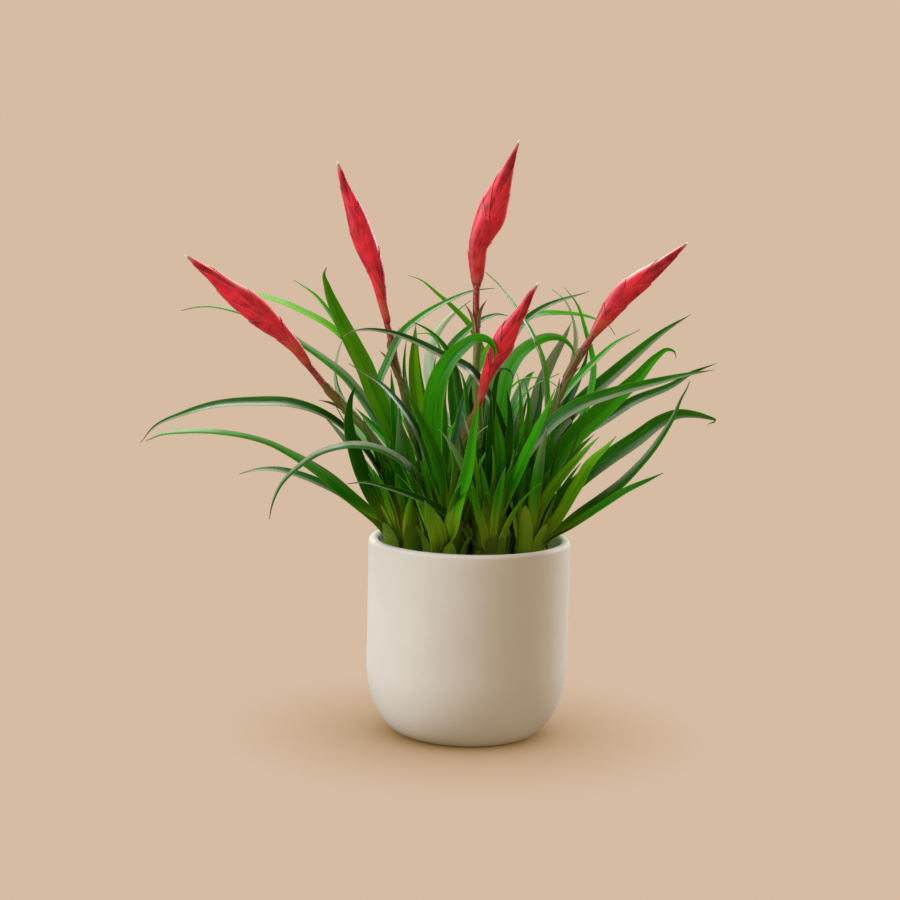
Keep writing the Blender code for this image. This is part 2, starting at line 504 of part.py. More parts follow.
def blade(path, normals, widths, thicknesses, folds):
    """A pointed blade: cross-sections of edge, keel, edge and channel, split alike on both faces."""
    points = []
    faces = []
    directions = headings(path)
    for i, centre in enumerate(path[:-1]):
        normal = square_to(normals[i], directions[i])
        across = directions[i].cross(normal)
        half = widths[i] / 2
        rise = normal * (half * folds[i] / 2)
        keel = centre - rise
        swell = normal * (thicknesses[i] / 2)
        points += [centre - across * half + rise, keel + swell, centre + across * half + rise,
                   keel - swell]
    for i in range(len(path) - 2):
        a, b = 4 * i, 4 * i + 4
        for edge in (0, 2):
            for middle in (1, 3):
                turn = (edge == 0) == (middle == 1)
                quad = [(a + edge, b + middle, b + edge), (a + edge, a + middle, b + middle)]
                faces += [face if turn else face[::-1] for face in quad]
    tip = len(points)
    points.append(path[-1])
    end = tip - 4
    faces += [(end + k, end + (k + 1) % 4, tip) for k in range(4)]
    faces += [(0, 3, 1), (3, 2, 1)]
    return points, faces


def keeled(path, outs, spans, depths):
    """A pointed bract, solid behind: cross-sections of two edges and an outer keel."""
    rings = []
    for centre, heading, out, span, depth in zip(path, headings(path), outs, spans, depths):
        out = square_to(out, heading)
        across = heading.cross(out) * (span / 2)
        back = centre - out * depth
        rings.append([back - across, centre, back + across][::-1])
    return loft(rings)


def leaf_width(share, taper):
    """The leaf's width over its full width, from root (0) to tip (1)."""
    sheath = 1 + SHEATH_SPREAD * (1 - smooth_step(share / SHEATH_END))
    past = max(0.0, (share - TAPER_START) / (1 - TAPER_START))
    return sheath * (1 - past**taper)


def shown_width(leaf, share):
    root, tip = leaf.shown if isinstance(leaf.shown, tuple) else (leaf.shown, leaf.shown)
    return root + (tip - root) * smooth_step((share - TURN_START) / TURN_LENGTH)


def leaf_blade(path, normals, shares, wide, taper, extra):
    left = [leaf_width(share, taper) for share in shares]
    widths = [max(wide * share + extra, LEAF_THICKNESS) for share in left]
    thicknesses = [LEAF_THICKNESS * (1 - (1 - LEAF_TIP_THICKNESS) * (1 - share)) + extra for share in left]
    folds = [LEAF_FOLD + SHEATH_FOLD * (1 - smooth_step(share / SHEATH_END)) for share in shares]
    return blade(path, normals, widths, thicknesses, folds)


def ring_shares(length):
    """How far along a leaf of this length its cross-sections lie."""
    count = FEWEST_RINGS + int(length / RING_EVERY)
    return 1 - (1 - np.linspace(0, 1, count))**RING_CROWDING


def seen_leaf(leaf, push, extra=0.0):
    """A leaf through its seen points, bent push mm further back."""
    crown_x, crown_y = CROWNS[leaf.crown]
    line = [seen_place((crown_x, crown_y, ROOT_HEIGHT))] + list(leaf.seen[::-1])
    run = [0.0]
    for a, b in zip(line, line[1:]):
        run.append(run[-1] + math.dist(a, b))
    depths = [crown_y + leaf.deep * at / run[-1] + push * smooth_step(at / run[-1] / BEND_END)
              for at in run]
    near = next(i for i, at in enumerate(run) if at > ROOT_AIM * run[-1])
    start = true_place(*line[near], depths[near])
    outward = unit(Vector((start.x - crown_x, start.y - crown_y, 0)))
    root = Vector((crown_x, crown_y, ROOT_HEIGHT)) + outward * ROOT_RADIUS
    rows = [(*seen_place(root), root.y)] + [(x, z, depth) for (x, z), depth in zip(line, depths)][1:]
    shares = ring_shares(run[-1])
    path = [true_place(*row) for row in along(rows, shares)]
    side = 1 if leaf.seen[0][0] > line[0][0] else -1
    normals = []
    for point, heading, share in zip(path, headings(path), shares):
        to_eye = square_to(Vector(EYE) - point, heading)
        above = to_eye.cross(heading) * side
        turn = math.asin(max(-1.0, min(1.0, shown_width(leaf, share) / leaf.wide)))
        shown = above * math.cos(turn) + to_eye * math.sin(turn)
        blend = smooth_step(share / ROOT_TURN_END)
        sheath = square_to(-outward, heading)
        if sheath.dot(shown) < OPPOSED:
            sheath = sheath + above / 2
        normals.append(sheath * (1 - blend) + shown * blend)
    return leaf_blade(path, normals, shares, leaf.wide, leaf.taper, extra)


def fill_leaf(crown, heading, length, wide, rise, droop, extra=0.0):
    """A leaf that rises from its crown at a heading and arches over."""
    crown_x, crown_y = CROWNS[crown]
    outward = Vector((math.cos(heading), math.sin(heading), 0))
    place = Vector((crown_x, crown_y, ROOT_HEIGHT)) + outward * ROOT_RADIUS
    step = length / FILL_STEPS
    rows = [tuple(place)]
    for i in range(FILL_STEPS):
        slope = rise + (droop - rise) * ((i + 0.5) / FILL_STEPS)**FILL_BEND
        place = place + (outward * math.cos(slope) + Vector((0, 0, math.sin(slope)))) * step
        rows.append(tuple(place))
    shares = ring_shares(length)
    path = [Vector(row) for row in along(rows, shares)]
    across = outward.cross(Vector((0, 0, 1)))
    normals = [-(heading_there.cross(across)) for heading_there in headings(path)]
    if normals[0].dot(outward) > 0:
        normals = [-normal for normal in normals]
    return leaf_blade(path, normals, shares, wide, TAPER_POWER, extra)


def to_metres(points):
    return [point * MM for point in points]


def tree_from(shape):
    points, faces = shape
    return BVHTree.FromPolygons(to_metres(points), faces, all_triangles=True)


def clears(shape, trees):
    tree = tree_from(shape)
    return not any(tree.overlap(other) for other in trees)


def place_leaves(fixed, stubs):
    """Every leaf's shape by crown, each bent clear of the spikes, the pot and the other crowns."""
    shapes = {crown: [] for crown in CROWNS}
    trees = {crown: [tree_of(stubs[crown])] for crown in CROWNS}

    def keep(crown, shape):
        shapes[crown].append(shape)
        trees[crown].append(tree_from(shape))

    def others(crown):
        return fixed + [tree for name in CROWNS if name != crown for tree in trees[name]]

    for leaf in SEEN_LEAVES:
        for push in PUSHES:
            if clears(seen_leaf(leaf, push, CLEARANCE), others(leaf.crown)):
                keep(leaf.crown, seen_leaf(leaf, push))
                break
        else:
            print("no room for seen leaf", leaf.crown, leaf.seen[0])

    draw = random.Random(FILL_SEED)
    for fill in FILL_LEAVES:
        for i in range(fill.count):
            offset = (i + 0.5) / fill.count * 2 - 1
            heading = fill.middle + fill.spread * offset + draw.uniform(-FILL_STRAY, FILL_STRAY)
            length = fill.lengths[1] + (fill.lengths[0] - fill.lengths[1]) * abs(offset)
            length *= draw.uniform(*FILL_STRETCH)
            wide = draw.uniform(*FILL_WIDE)
            rise = math.radians(draw.uniform(*FILL_RISE))
            droop = math.radians(draw.uniform(*fill.droop))
            for turn in TURNS:
                shape_of = (fill.crown, math.radians(heading + turn), length, wide, rise, droop)
                if clears(fill_leaf(*shape_of, CLEARANCE), others(fill.crown)):
                    keep(fill.crown, fill_leaf(*shape_of))
                    break
            else:
                print("no room for fill leaf", fill.crown, i)
    return shapes


def fuse(name, first, rest, collection):
    """One body from closed pieces that run into each other."""
    pieces = make_collection(name + "_pieces")
    for piece in rest:
        pieces.objects.link(piece)
        collection.objects.unlink(piece)
    for solver in ("EXACT", "MANIFOLD"):
        union = first.modifiers.new("union", "BOOLEAN")
        union.operation = "UNION"
        union.operand_type = "COLLECTION"
        union.collection = pieces
        union.solver = solver
        mesh = evaluated_mesh(first)
        first.modifiers.clear()
        if is_closed(mesh):
            break
        print(name, solver, "left an open mesh")
    keep_main_body(mesh)
    first.data = mesh
    first.name = name
    for piece in list(pieces.objects):
        bpy.data.objects.remove(piece, do_unlink=True)
    bpy.data.collections.remove(pieces)
    return first


def is_closed(mesh):
    editor = bmesh.new()
    editor.from_mesh(mesh)
    closed = all(edge.is_manifold for edge in editor.edges)
    editor.free()
    return closed


def keep_main_body(mesh):
    """Drops loose scraps, and fills any hollow that fusing has sealed."""
    editor = bmesh.new()
    editor.from_mesh(mesh)
    bodies = []
    waiting = set(editor.verts)
    while waiting:
        body = set()
        front = [waiting.pop()]
        while front:
            vertex = front.pop()
            body.add(vertex)
            for edge in vertex.link_edges:
                other = edge.other_vert(vertex)
                if other in waiting:
                    waiting.remove(other)
                    front.append(other)
        bodies.append(body)
    main = max(bodies, key=len)
    scraps = [vertex for body in bodies if body is not main for vertex in body]
    bmesh.ops.delete(editor, geom=scraps, context="VERTS")
    editor.to_mesh(mesh)
    editor.free()


def crown_stub(crown, collection):
    """The short crown that a rosette's leaves spring from, with the socket of its flower stem."""
    x, y = CROWNS[crown]
    shoulder = ((CROWN_NECK + CROWN_BELLY) / 2,
                (CROWN_TOP + CROWN_BELLY_HEIGHT) / 2 + CROWN_SHOULDER_RISE)
    side = [(CROWN_NECK, CROWN_TOP), shoulder, (CROWN_BELLY, CROWN_BELLY_HEIGHT),
            (CROWN_RADIUS, SOIL_TOP + SOIL_RISE + SLIT), (CROWN_RADIUS, CROWN_FOOT), (0, CROWN_FOOT)]
    if any(spike.crown == crown for spike in SPIKES):
        top = [(0, SOCKET_FOOT), (SOCKET_RADIUS, SOCKET_FOOT), (SOCKET_RADIUS, CROWN_TOP)]
    else:
        top = [(0, CROWN_TOP)]
    thing = turned("stub_" + crown, top + side, CROWN_SIDES, collection)
    thing.data.transform(Matrix.Translation((x * MM, y * MM, 0)))
    return thing


def spike_path(spike):
    """The spike's centre line from its socket to its tip, as rows (seen x, seen z, depth)."""
    crown_x, crown_y = CROWNS[spike.crown]
    socket = (SOCKET_FOOT + SLIT) / MM
    clear = (CROWN_TOP + STEM_STRAIGHT) / MM
    start = [seen_place((crown_x, crown_y, height)) for height in (socket, clear)]
    line = start + list(spike.stem) + [(x, z) for x, z, _ in spike.head]
    run = [0.0]
    for a, b in zip(line, line[1:]):
        run.append(run[-1] + math.dist(a, b))
    straight = run[1]
    bent = [max(0.0, (at - straight) / (run[-1] - straight))**SPIKE_BEND for at in run]
    depths = [crown_y + spike.deep * share for share in bent]
    return [(x, z, depth) for (x, z), depth in zip(line, depths)]


def loft(rings):
    """A closed skin over rings of points that run anticlockwise about the heading."""
    sides = len(rings[0])
    points = [point for ring in rings for point in ring]
    faces = []
    for i in range(len(rings) - 1):
        for k in range(sides):
            a, b = i * sides + k, i * sides + (k + 1) % sides
            faces.append((a, b, b + sides, a + sides))
    faces.append(tuple(range(sides))[::-1])
    faces.append(tuple(range(len(points) - sides, len(points))))
    return points, faces


def ring_round(centre, side, other, sides):
    """Points on the ellipse with these two half-axes."""
    angles = [2 * math.pi * k / sides for k in range(sides)]
    return [centre + side * math.cos(angle) + other * math.sin(angle) for angle in angles]


def tube(path, radii, sides):
    rings = []
    side = Vector((1, 0, 0))
    for centre, heading, radius in zip(path, headings(path), radii):
        side = square_to(side, heading)
        rings.append(ring_round(centre, side * radius, heading.cross(side) * radius, sides))
    return loft(rings)


def build_stem(spike, collection):
    """The stem from its socket to its head. It stays straight until it is out of the crown."""
    rows = spike_path(spike)
    stem_rows = rows[:len(rows) - len(spike.head) + 1]
    run = [math.dist(a, b) for a, b in zip(stem_rows, stem_rows[1:])]
    shares = [0.0] + list(np.linspace(run[0] / sum(run), 1, STEM_RINGS - 1))
    path = [true_place(*row) for row in along(stem_rows, shares)]
    length = sum((b - a).length for a, b in zip(path, path[1:]))
    path[-1] = path[-1] - headings(path)[-1] * SPIKE_GAP
    radii = [STEM_RADIUS + (STEM_TOP_RADIUS - STEM_RADIUS) * share for share in shares]
    points, faces = tube(path, radii, STEM_SIDES)
    stem = mesh_object("stem_" + spike.crown, to_metres(points), faces, collection)
    bracts = []
    for i, share in enumerate(STEM_BRACTS):
        reach = min(BRACT_LENGTH / length, STEM_BRACT_END - share)
        steps = np.linspace(0, 1, len(STEM_BRACT_LIFT))
        places = [true_place(*row) for row in along(stem_rows, share + reach * steps)]
        hand = 1 if i % 2 else -1
        out = square_to(Vector((hand, STEM_BRACT_FACING[i % len(STEM_BRACT_FACING)], 0)), headings(places)[0])
        path = [place + out * lift for place, lift in zip(places, STEM_BRACT_LIFT)]
        shape = keeled(path, [out] * len(path), STEM_BRACT_SPAN, STEM_BRACT_DEPTH)
        bracts.append(mesh_object("bract", to_metres(shape[0]), shape[1], collection))
    return fuse("stem_" + spike.crown, stem, bracts, collection)


def build_head(spike, collection):
    rows = spike_path(spike)[-len(spike.head):]
    widths = [width for _, _, width in spike.head]
    rows = [(*row, width) for row, width in zip(rows, widths)]

    def at(shares):
        places = along(rows, shares)
        return [true_place(*row[:3]) for row in places], [max(THINNEST, row[3]) for row in places]

    shares = np.linspace(0, 1, HEAD_RINGS)
    path, wide = at(shares)
    rings = []
    for centre, heading, width in zip(path, headings(path), wide):
        front = square_to(Vector(EYE) - centre, heading)
        half = HEAD_CORE * width / 2
        rings.append(ring_round(centre, front.cross(heading) * half, front * (half * HEAD_FLATNESS),
                                HEAD_SIDES))
    points, faces = loft(rings)
    core = mesh_object("head_" + spike.crown, to_metres(points), faces, collection)

    bracts = []
    for i in range(HEAD_BRACTS):
        start = HEAD_BRACT_START + i * (1 - HEAD_BRACT_REACH) / HEAD_BRACTS
        places, wide = at(start + HEAD_BRACT_REACH * np.linspace(0, 1, len(BRACT_OUTLINE)))
        hand = 1 if i % 2 else -1
        outs = []
        path = []
        for place, heading, width, rise in zip(places, headings(places), wide, BRACT_OUTLINE):
            out = square_to(Vector(EYE) - place, heading).cross(heading) * hand
            path.append(place + out * (width / 2 * rise))
            outs.append(out)
        spans = [max(THINNEST, width * HEAD_FLATNESS * span) for width, span in zip(wide, BRACT_SPAN)]
        depths = [max(THINNEST, width * depth) for width, depth in zip(wide, BRACT_DEPTH)]
        shape = keeled(path, outs, spans, depths)
        bracts.append(mesh_object("bract", to_metres(shape[0]), shape[1], collection))
    return fuse("head_" + spike.crown, core, bracts, collection)


def build_rosette(crown, stub, shapes, collection):
    leaves = [mesh_object("leaf", to_metres(points), faces, collection) for points, faces in shapes]
    return fuse("rosette_" + crown, stub, leaves, collection)


def main():
    clear_scene()
    plant = make_collection("potted_vriesea")
    cutters = make_collection("cutters")
    materials = {name: make_material(name) for name in FINISHES}

    def finish(thing, material, smooth=False):
        thing.data.materials.clear()
        thing.data.materials.append(materials[material])
        if smooth:
            thing.data.shade_smooth()
            thing.data.set_sharp_from_angle(angle=math.radians(SMOOTH_ANGLE))
        return thing

    pot = finish(build_pot(plant), "ceramic", smooth=True)
    soil = finish(build_soil(plant, cutters), "soil")
    stems = [finish(build_stem(spike, plant), "stem") for spike in SPIKES]
    heads = [finish(build_head(spike, plant), "bract") for spike in SPIKES]
    fixed = [tree_of(thing) for thing in [pot, soil] + stems + heads]
    stubs = {crown: crown_stub(crown, plant) for crown in CROWNS}
    for crown, shapes in place_leaves(fixed, stubs).items():
        finish(build_rosette(crown, stubs[crown], shapes, plant), "leaf")


main()
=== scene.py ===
"""Looks for the potted vriesea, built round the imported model. Metres, +Z up, the front faces -Y."""
import math
import random
from collections import namedtuple
from functools import partial

import bpy
import numpy as np
from mathutils import Matrix, Vector, noise
from mathutils.bvhtree import BVHTree


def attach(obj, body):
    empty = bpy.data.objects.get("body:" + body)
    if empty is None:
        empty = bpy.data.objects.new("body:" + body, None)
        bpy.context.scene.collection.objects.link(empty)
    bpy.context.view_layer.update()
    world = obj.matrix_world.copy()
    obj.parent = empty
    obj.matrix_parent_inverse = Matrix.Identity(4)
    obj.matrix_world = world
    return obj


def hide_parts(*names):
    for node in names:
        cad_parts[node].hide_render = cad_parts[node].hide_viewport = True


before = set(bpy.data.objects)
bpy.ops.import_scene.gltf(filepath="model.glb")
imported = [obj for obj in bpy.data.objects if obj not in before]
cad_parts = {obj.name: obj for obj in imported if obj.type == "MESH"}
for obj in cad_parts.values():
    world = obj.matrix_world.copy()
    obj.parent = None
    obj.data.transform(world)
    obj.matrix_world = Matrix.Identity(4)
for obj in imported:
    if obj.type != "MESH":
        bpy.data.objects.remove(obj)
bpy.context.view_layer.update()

MM = 0.001

# Pot and soil, in mm as in the CAD model
POT_HEIGHT = 138
POT_RADIUS = 70
POT_WALL = 6.7
POT_FLOOR = 9
POT_FOOT_RADIUS = 40
POT_CORNER_HEIGHT = 50
POT_INNER_CORNER = 28
POT_LIP = 3
POT_SIDES = 160
SOIL_TOP = 121
SOIL_RISE = 2
SOIL_GAP = 0.3
SOIL_SIDES = 150
SOIL_RINGS = 40

# Crowns
CROWN_RADIUS = 8.6
CROWN_BELLY = 12.2
CROWN_NECK = 7.6
CROWN_FOOT = 104
CROWN_BELLY_HEIGHT = 131
CROWN_TOP = 152
CROWN_SHOULDER_RISE = 2
CROWN_SIDES = 12
SOCKET_RADIUS = 3.2
SOCKET_FOOT = 114
CROWNS = {
    "left": (-45, -14),
    "front": (-18, -35),
    "middle": (13, -25),
    "right": (40, -10),
    "back_left": (-20, 23),
    "back_right": (19, 24),
}

# The camera: it looks at AIM from this far, with the picture turned a little
AIM = Vector((-15, 0, 199))
DISTANCE = 1728
ELEVATION = 8.2
ROLL = 1.35
LENS = 100
SENSOR = 36
EYE = (-15, -1710.3, 445.5)      # the camera's place, as the CAD model has it

# Leaves. Each point (x, z) is where the leaf shows on the upright plane through the pot's axis,
# seen from EYE, in mm and from tip to root. A depth then slides the point along its line of sight.
# Starts, ends and lengths are shares of a leaf's length.
LEAF_THICKNESS = 1.2
LEAF_TIP_THICKNESS = 0.65        # over LEAF_THICKNESS
LEAF_FOLD = 0.24                 # the fold's depth over half the width
SHEATH_FOLD = 0.3                # more fold at the root
SHEATH_SPREAD = 0.3              # more width at the root
SHEATH_END = 0.2
TAPER_START = 0.5
TAPER_POWER = 1.8                # above 1, a leaf narrows mostly near its tip
ROOT_HEIGHT = 126
ROOT_RADIUS = 5.4
ROOT_AIM = 0.15                  # a leaf leaves its crown on the side of its point here
ROOT_TURN_END = 0.3              # where it has turned from the way its sheath faces
OPPOSED = -0.9                   # cosine below which two ways to face count as opposite
RING_EVERY = 44                  # mm of leaf for each further section of the CAD model
FEWEST_RINGS = 4
RING_CROWDING = 1.3              # above 1, sections crowd towards the tip
BEND_END = 0.4                   # where a bend back or forward is complete
TURN_START = 0.3                 # where its shown width starts to change
TURN_LENGTH = 0.35

# wide is the blade's true width. shown is the width that meets the eye, below zero where that is
# the underside, or a pair for the root and the tip of a leaf that turns. deep is how far the tip
# lies behind its crown (before it, below zero). tone is how bright the leaf is, from 0 (dark) to 1
# and a little over, or None where that varies by chance; a given tone holds the leaf's own green
# together with painted light and shade, lighter where the leaf lies lit and darker where it lies in
# shade. sheen is how strongly a painted sheen, a pale reflection, lies on one half of it: above
# zero on its upper side where it leans left and its lower side where it leans right, and below
# zero on the other.
Leaf = namedtuple("Leaf", "crown wide shown deep tone seen taper sheen", defaults=[TAPER_POWER, 0])

SEEN_LEAVES = [
    # Long arches to the left
    Leaf("left", 11, (2.8, 7.4), -35, 0.12, [
        (-229, 199), (-220, 210), (-200, 219.8), (-180, 226.2), (-150, 229.4), (-124, 228.8), (-110, 225),
        (-98, 219.3), (-84, 208.5), (-68, 190), (-54, 165)], sheen=-0.9),
    Leaf("left", 11.5, (8.7, 3.4), -60, 0.5, [
        (-225, 200.6), (-215, 204.8), (-200, 207), (-184, 207.7), (-168, 206.6), (-153, 204.1),
        (-140, 200.3), (-125.5, 193.3), (-97.5, 175.9), (-83, 164), (-69.3, 154),
        (-55, 143)], taper=3, sheen=0.4),
    Leaf("left", 10, (8, 5), -10, 0.15, [
        (-160.5, 178.8), (-152, 181.3), (-142, 182.8), (-130, 182), (-118, 178.8), (-104, 173.6),
        (-90, 167.5), (-80, 160.8), (-65.6, 148.8)], sheen=-0.9),
    Leaf("front", 13, (4.8, 5.6), -45, 0.1, [
        (-139.3, 147.5), (-137.3, 158), (-130.5, 173), (-117.5, 186), (-104.5, 194.8), (-92, 199),
        (-84, 200.3), (-63.5, 198), (-49.5, 191), (-36, 177), (-27, 160)], sheen=1),
    Leaf("middle", 8, 4.4, -64, 0.05, [
        (-85.5, 173.6), (-76.7, 174.8), (-55.8, 171), (-40, 166), (-23, 158.5), (-10.8, 150.5),
        (-1.3, 141)], sheen=-0.7),
    Leaf("left", 12, 10.5, -36, 0.25, [
        (-80.4, 243.6), (-83.6, 236), (-85.5, 225), (-85, 211), (-82.3, 201), (-79, 190.5), (-70.4, 170),
        (-59.5, 152)]),
    Leaf("left", 8, -5.5, -20, 0.6, [
        (-103, 221), (-95.5, 213.3), (-87.5, 204), (-79, 190), (-66, 171), (-54, 152)]),
    Leaf("back_left", 11, (8, 4.2), 62, 0.35, [
        (-201.5, 291.2), (-195, 293), (-185, 294.4), (-175, 293.7), (-163, 290.9), (-131, 278.5),
        (-120, 270.8), (-110, 264.3), (-100, 257.3), (-90, 249.5), (-80, 238.5), (-70, 225), (-60, 211),
        (-47, 185)], sheen=0.7),
    Leaf("back_left", 9, 4.1, 85, 1.1, [
        (-174, 304.5), (-160, 305), (-150, 303.6), (-140, 301), (-130, 297.9), (-120, 293.5), (-110, 288.8),
        (-100, 283), (-85, 270), (-65, 243), (-48, 210)], taper=3.5),
    Leaf("back_left", 9, 5.6, 70, 0.9, [
        (-124.5, 314), (-109.5, 303.8), (-98, 289.5), (-82, 263), (-64, 230), (-48, 196)]),
    Leaf("left", 14, 12.8, 12, 1.05, [
        (-102.1, 323.5), (-104, 319.5), (-101.9, 310), (-93.7, 290), (-83.2, 270), (-75.2, 255), (-70, 242),
        (-60, 221), (-48, 200), (-43, 165)], taper=3.2),
    Leaf("back_left", 8, -4.5, 95, 0.6, [
        (-88, 279), (-91.9, 270.5), (-95, 257), (-94.5, 242), (-87.5, 224), (-70, 198), (-48, 170)]),
    Leaf("left", 7, 3.5, 5, 0.7, [
        (-95.5, 254), (-93.5, 243), (-88.5, 231), (-77, 215), (-62, 190), (-50, 162)]),
    # Leaves between the left spike and the middle
    Leaf("front", 8.5, 5.5, -42, 0.1, [
        (-86, 257.5), (-76, 251.5), (-66, 245.5), (-50, 229.5), (-38, 212), (-29, 192),
        (-22, 168)], sheen=-1),
    Leaf("front", 10.5, 9.8, 30, 1.15, [
        (-40.5, 286), (-41, 276), (-41.5, 262), (-40.5, 246), (-38, 230), (-33, 208), (-26, 180)], taper=3),
    Leaf("back_left", 6, 5, 25, 0.7, [
        (-46.5, 277), (-47.5, 268), (-48, 255), (-46, 240), (-40, 215), (-32, 180)]),
    Leaf("back_left", 5, 3.8, 18, 0.8, [
        (-38.8, 273), (-38, 262), (-36.8, 252), (-34.8, 240), (-31.5, 222), (-27, 180)]),
    Leaf("front", 6, 4.2, 26, 0.9, [
        (-41, 278.5), (-36, 279.6), (-31, 279), (-27, 276), (-24, 270), (-22, 255), (-20, 220)]),
    Leaf("back_left", 7, 4.5, 20, 0.5, [
        (-26, 264), (-28.5, 250), (-31.5, 236), (-31, 222), (-28, 204), (-24, 180)]),
    Leaf("left", 9, 7.5, -12, 0.75, [(-77, 201), (-70, 193), (-63, 184), (-56, 172), (-48, 154)]),
    Leaf("left", 7, 6, -30, None, [(-62.5, 184), (-60, 177), (-56, 167), (-50, 152)]),
    Leaf("left", 8, 6.5, -20, 0.8, [(-71, 181), (-65, 172), (-57, 159), (-49, 146)]),
    Leaf("front", 7, 5.5, -8, None, [(-33.2, 184), (-32.8, 174), (-30.5, 163), (-26.5, 149)]),
    Leaf("front", 6, 3.5, -16, None, [(-28.3, 179), (-25, 171.5), (-21, 162), (-18.5, 150)]),
    Leaf("front", 5, 2.8, -29, 1.2, [
        (-20.5, 211), (-17, 205.5), (-14.5, 199.5), (-12.6, 191), (-12.8, 180), (-15, 162)]),
    Leaf("back_left", 11, 9, 8, 0.6, [(-81, 227), (-72, 218), (-60, 206), (-50, 194), (-40, 176)]),
    Leaf("left", 9, 8, 14, 0.85, [(-57, 254), (-56, 244), (-54.5, 228), (-52, 208), (-47, 182)]),
    Leaf("front", 14, 12.4, -27, 1.1, [(-31.5, 163), (-28, 154), (-24, 144)]),
    Leaf("front", 10, 9, -38, 0.4, [
        (-47, 240), (-38.5, 225), (-30.5, 208), (-24.5, 194), (-18.5, 176), (-15.5, 160)]),
    Leaf("left", 10, 8.5, -34, 0.6, [(-61, 201), (-51, 185), (-43, 166), (-38.5, 148)]),
    # Arches over the middle
    Leaf("right", 9, 6, -62, 0.05, [
        (-90, 275.6), (-85.6, 279), (-78, 280.9), (-59.6, 279.9), (-39, 273.3), (-21.5, 264.8), (-2, 255),
        (9, 240), (22, 210), (33, 170)], sheen=-1),
    Leaf("left", 8.5, (3.2, 6.2), 60, 0.35, [
        (13, 311.7), (0, 309.9), (-21.8, 300.6), (-38.6, 289.9), (-50, 279.3), (-55.3, 269), (-59.7, 258),
        (-64, 247), (-64, 230), (-54, 190)], sheen=1),
    Leaf("middle", 8, 6, 34, 0.3, [
        (-46, 288), (-40, 286), (-33, 282.5), (-26, 277), (-20, 270), (-14, 258), (-10, 240), (-4, 208),
        (5, 170)]),
    Leaf("back_right", 7, 5.5, 60, 1.0, [
        (-46.4, 319), (-39.6, 317), (-25.5, 306.5), (-14.7, 297.3), (-4.4, 286.8), (6, 266), (12, 235),
        (15, 190)]),
    Leaf("back_right", 12, -10.5, 85, 1.1, [
        (-3, 303), (-13, 295.5), (-22, 286), (-29, 274), (-31, 258), (-24, 230), (-8, 190)]),
    Leaf("back_left", 9, (5, 6.6), 20, 0.35, [
        (22.5, 293), (15.5, 293.8), (7.7, 291.3), (-6, 281.4), (-16, 270), (-22, 250), (-25, 215),
        (-24, 175)], taper=3.5, sheen=1),
    Leaf("front", 15.5, 14.4, -24, 0.45, [
        (13, 260), (14, 270), (9, 276.1), (1, 276.8), (-7, 271.5), (-14.8, 264), (-22.4, 251.5), (-27, 232),
        (-27.5, 205), (-23, 170)]),
    Leaf("middle", 13.2, 12.2, -6, 0.75, [
        (69.5, 263.5), (67, 272), (60, 278), (51.8, 279), (42.3, 275.6), (32, 267.8), (23.8, 254.5),
        (19.5, 235), (18, 205), (16, 165)], sheen=-0.3),
    Leaf("back_right", 10, -9.5, 60, 0.6, [
        (66.3, 290), (61.3, 278), (53.3, 262), (46.8, 246), (41, 222), (30, 185)], taper=3),
    Leaf("back_right", 8, -4, 75, 1.6, [
        (52.5, 311.5), (58.5, 307.3), (64, 301), (67.4, 293), (70, 279), (67.8, 260), (59.5, 232),
        (42, 190)], taper=2.6),
    Leaf("middle", 10, 7.8, 48, 0.15, [
        (77.5, 311), (70, 308.3), (63.5, 306.3), (46, 298.8), (34, 289.5), (22, 270), (14, 238),
        (11, 190)], sheen=1),
    Leaf("back_left", 9, 5.5, 45, 0.95, [
        (96.5, 281.3), (92.3, 287.5), (81, 292.7), (60, 295.7), (42.5, 294.2), (20, 280.7), (0, 250),
        (-12, 200)]),
    Leaf("right", 7, 3.5, -20, 1.0, [
        (6.5, 322.5), (17, 313), (27.3, 299.8), (38.5, 282.5), (47.5, 261.5), (51, 235),
        (48, 190)], sheen=-0.6),
    Leaf("right", 7, 5, 62, 0.8, [
        (60.5, 313.5), (69.7, 302.2), (76, 285), (82.6, 258.6), (79.5, 235), (60, 190)]),
    Leaf("middle", 4, 2, 12, 0.7, [(59, 254), (54, 251.5), (44, 246.5), (35, 238), (27, 222), (20, 190)]),
    Leaf("back_right", 5, 2, 10, 0.6, [
        (57.5, 245), (52, 248.8), (44, 250.6), (34, 249.5), (25, 242), (20, 220), (19, 180)]),
    Leaf("front", 10, 8.5, -34, 0.5, [(4, 236), (3, 226), (1, 212), (-0.5, 198), (-2, 186), (-8, 164)]),
    Leaf("middle", 5, 3, -38, 1.3, [(10.7, 216.5), (7, 213.5), (3.5, 209.5), (2, 200), (5, 175), (9, 150)]),
    Leaf("back_right", 10, 8.5, 30, 0.55, [(-9, 277), (-13, 262), (-15, 245), (-12, 222), (-4, 190)]),
    Leaf("back_left", 6, 4, 12, None, [(-16, 256), (-18.5, 244), (-19.5, 235), (-18.5, 222), (-18, 190)]),
    Leaf("front", 9, 8, 34, 0.15, [(3, 259), (-3, 244), (-7, 228), (-9.5, 208), (-12, 180)]),
    Leaf("back_left", 11, 10, -12, None, [(3, 187), (0.5, 170), (-6, 152)]),
    Leaf("back_left", 13, 11, -24, None, [(9, 151), (2, 146.5), (-6, 141), (-12, 136)]),
    Leaf("back_right", 13, 11, -20, None, [(-5, 147), (4, 143.5), (11, 138)]),
    Leaf("front", 13, 11, 16, None, [(3, 146), (-2, 139), (-8, 133)]),
    Leaf("front", 12, 10, -6, None, [(-4, 160), (-7, 148), (-11, 139)]),
    Leaf("right", 12, 10, 16, None, [(64, 152), (58, 145), (51, 138)]),
    # Upright blades of the middle and right
    Leaf("middle", 5, 3.4, -18, 1.2, [(14, 202.5), (15, 196), (15.8, 187), (15.4, 176), (14, 158)]),
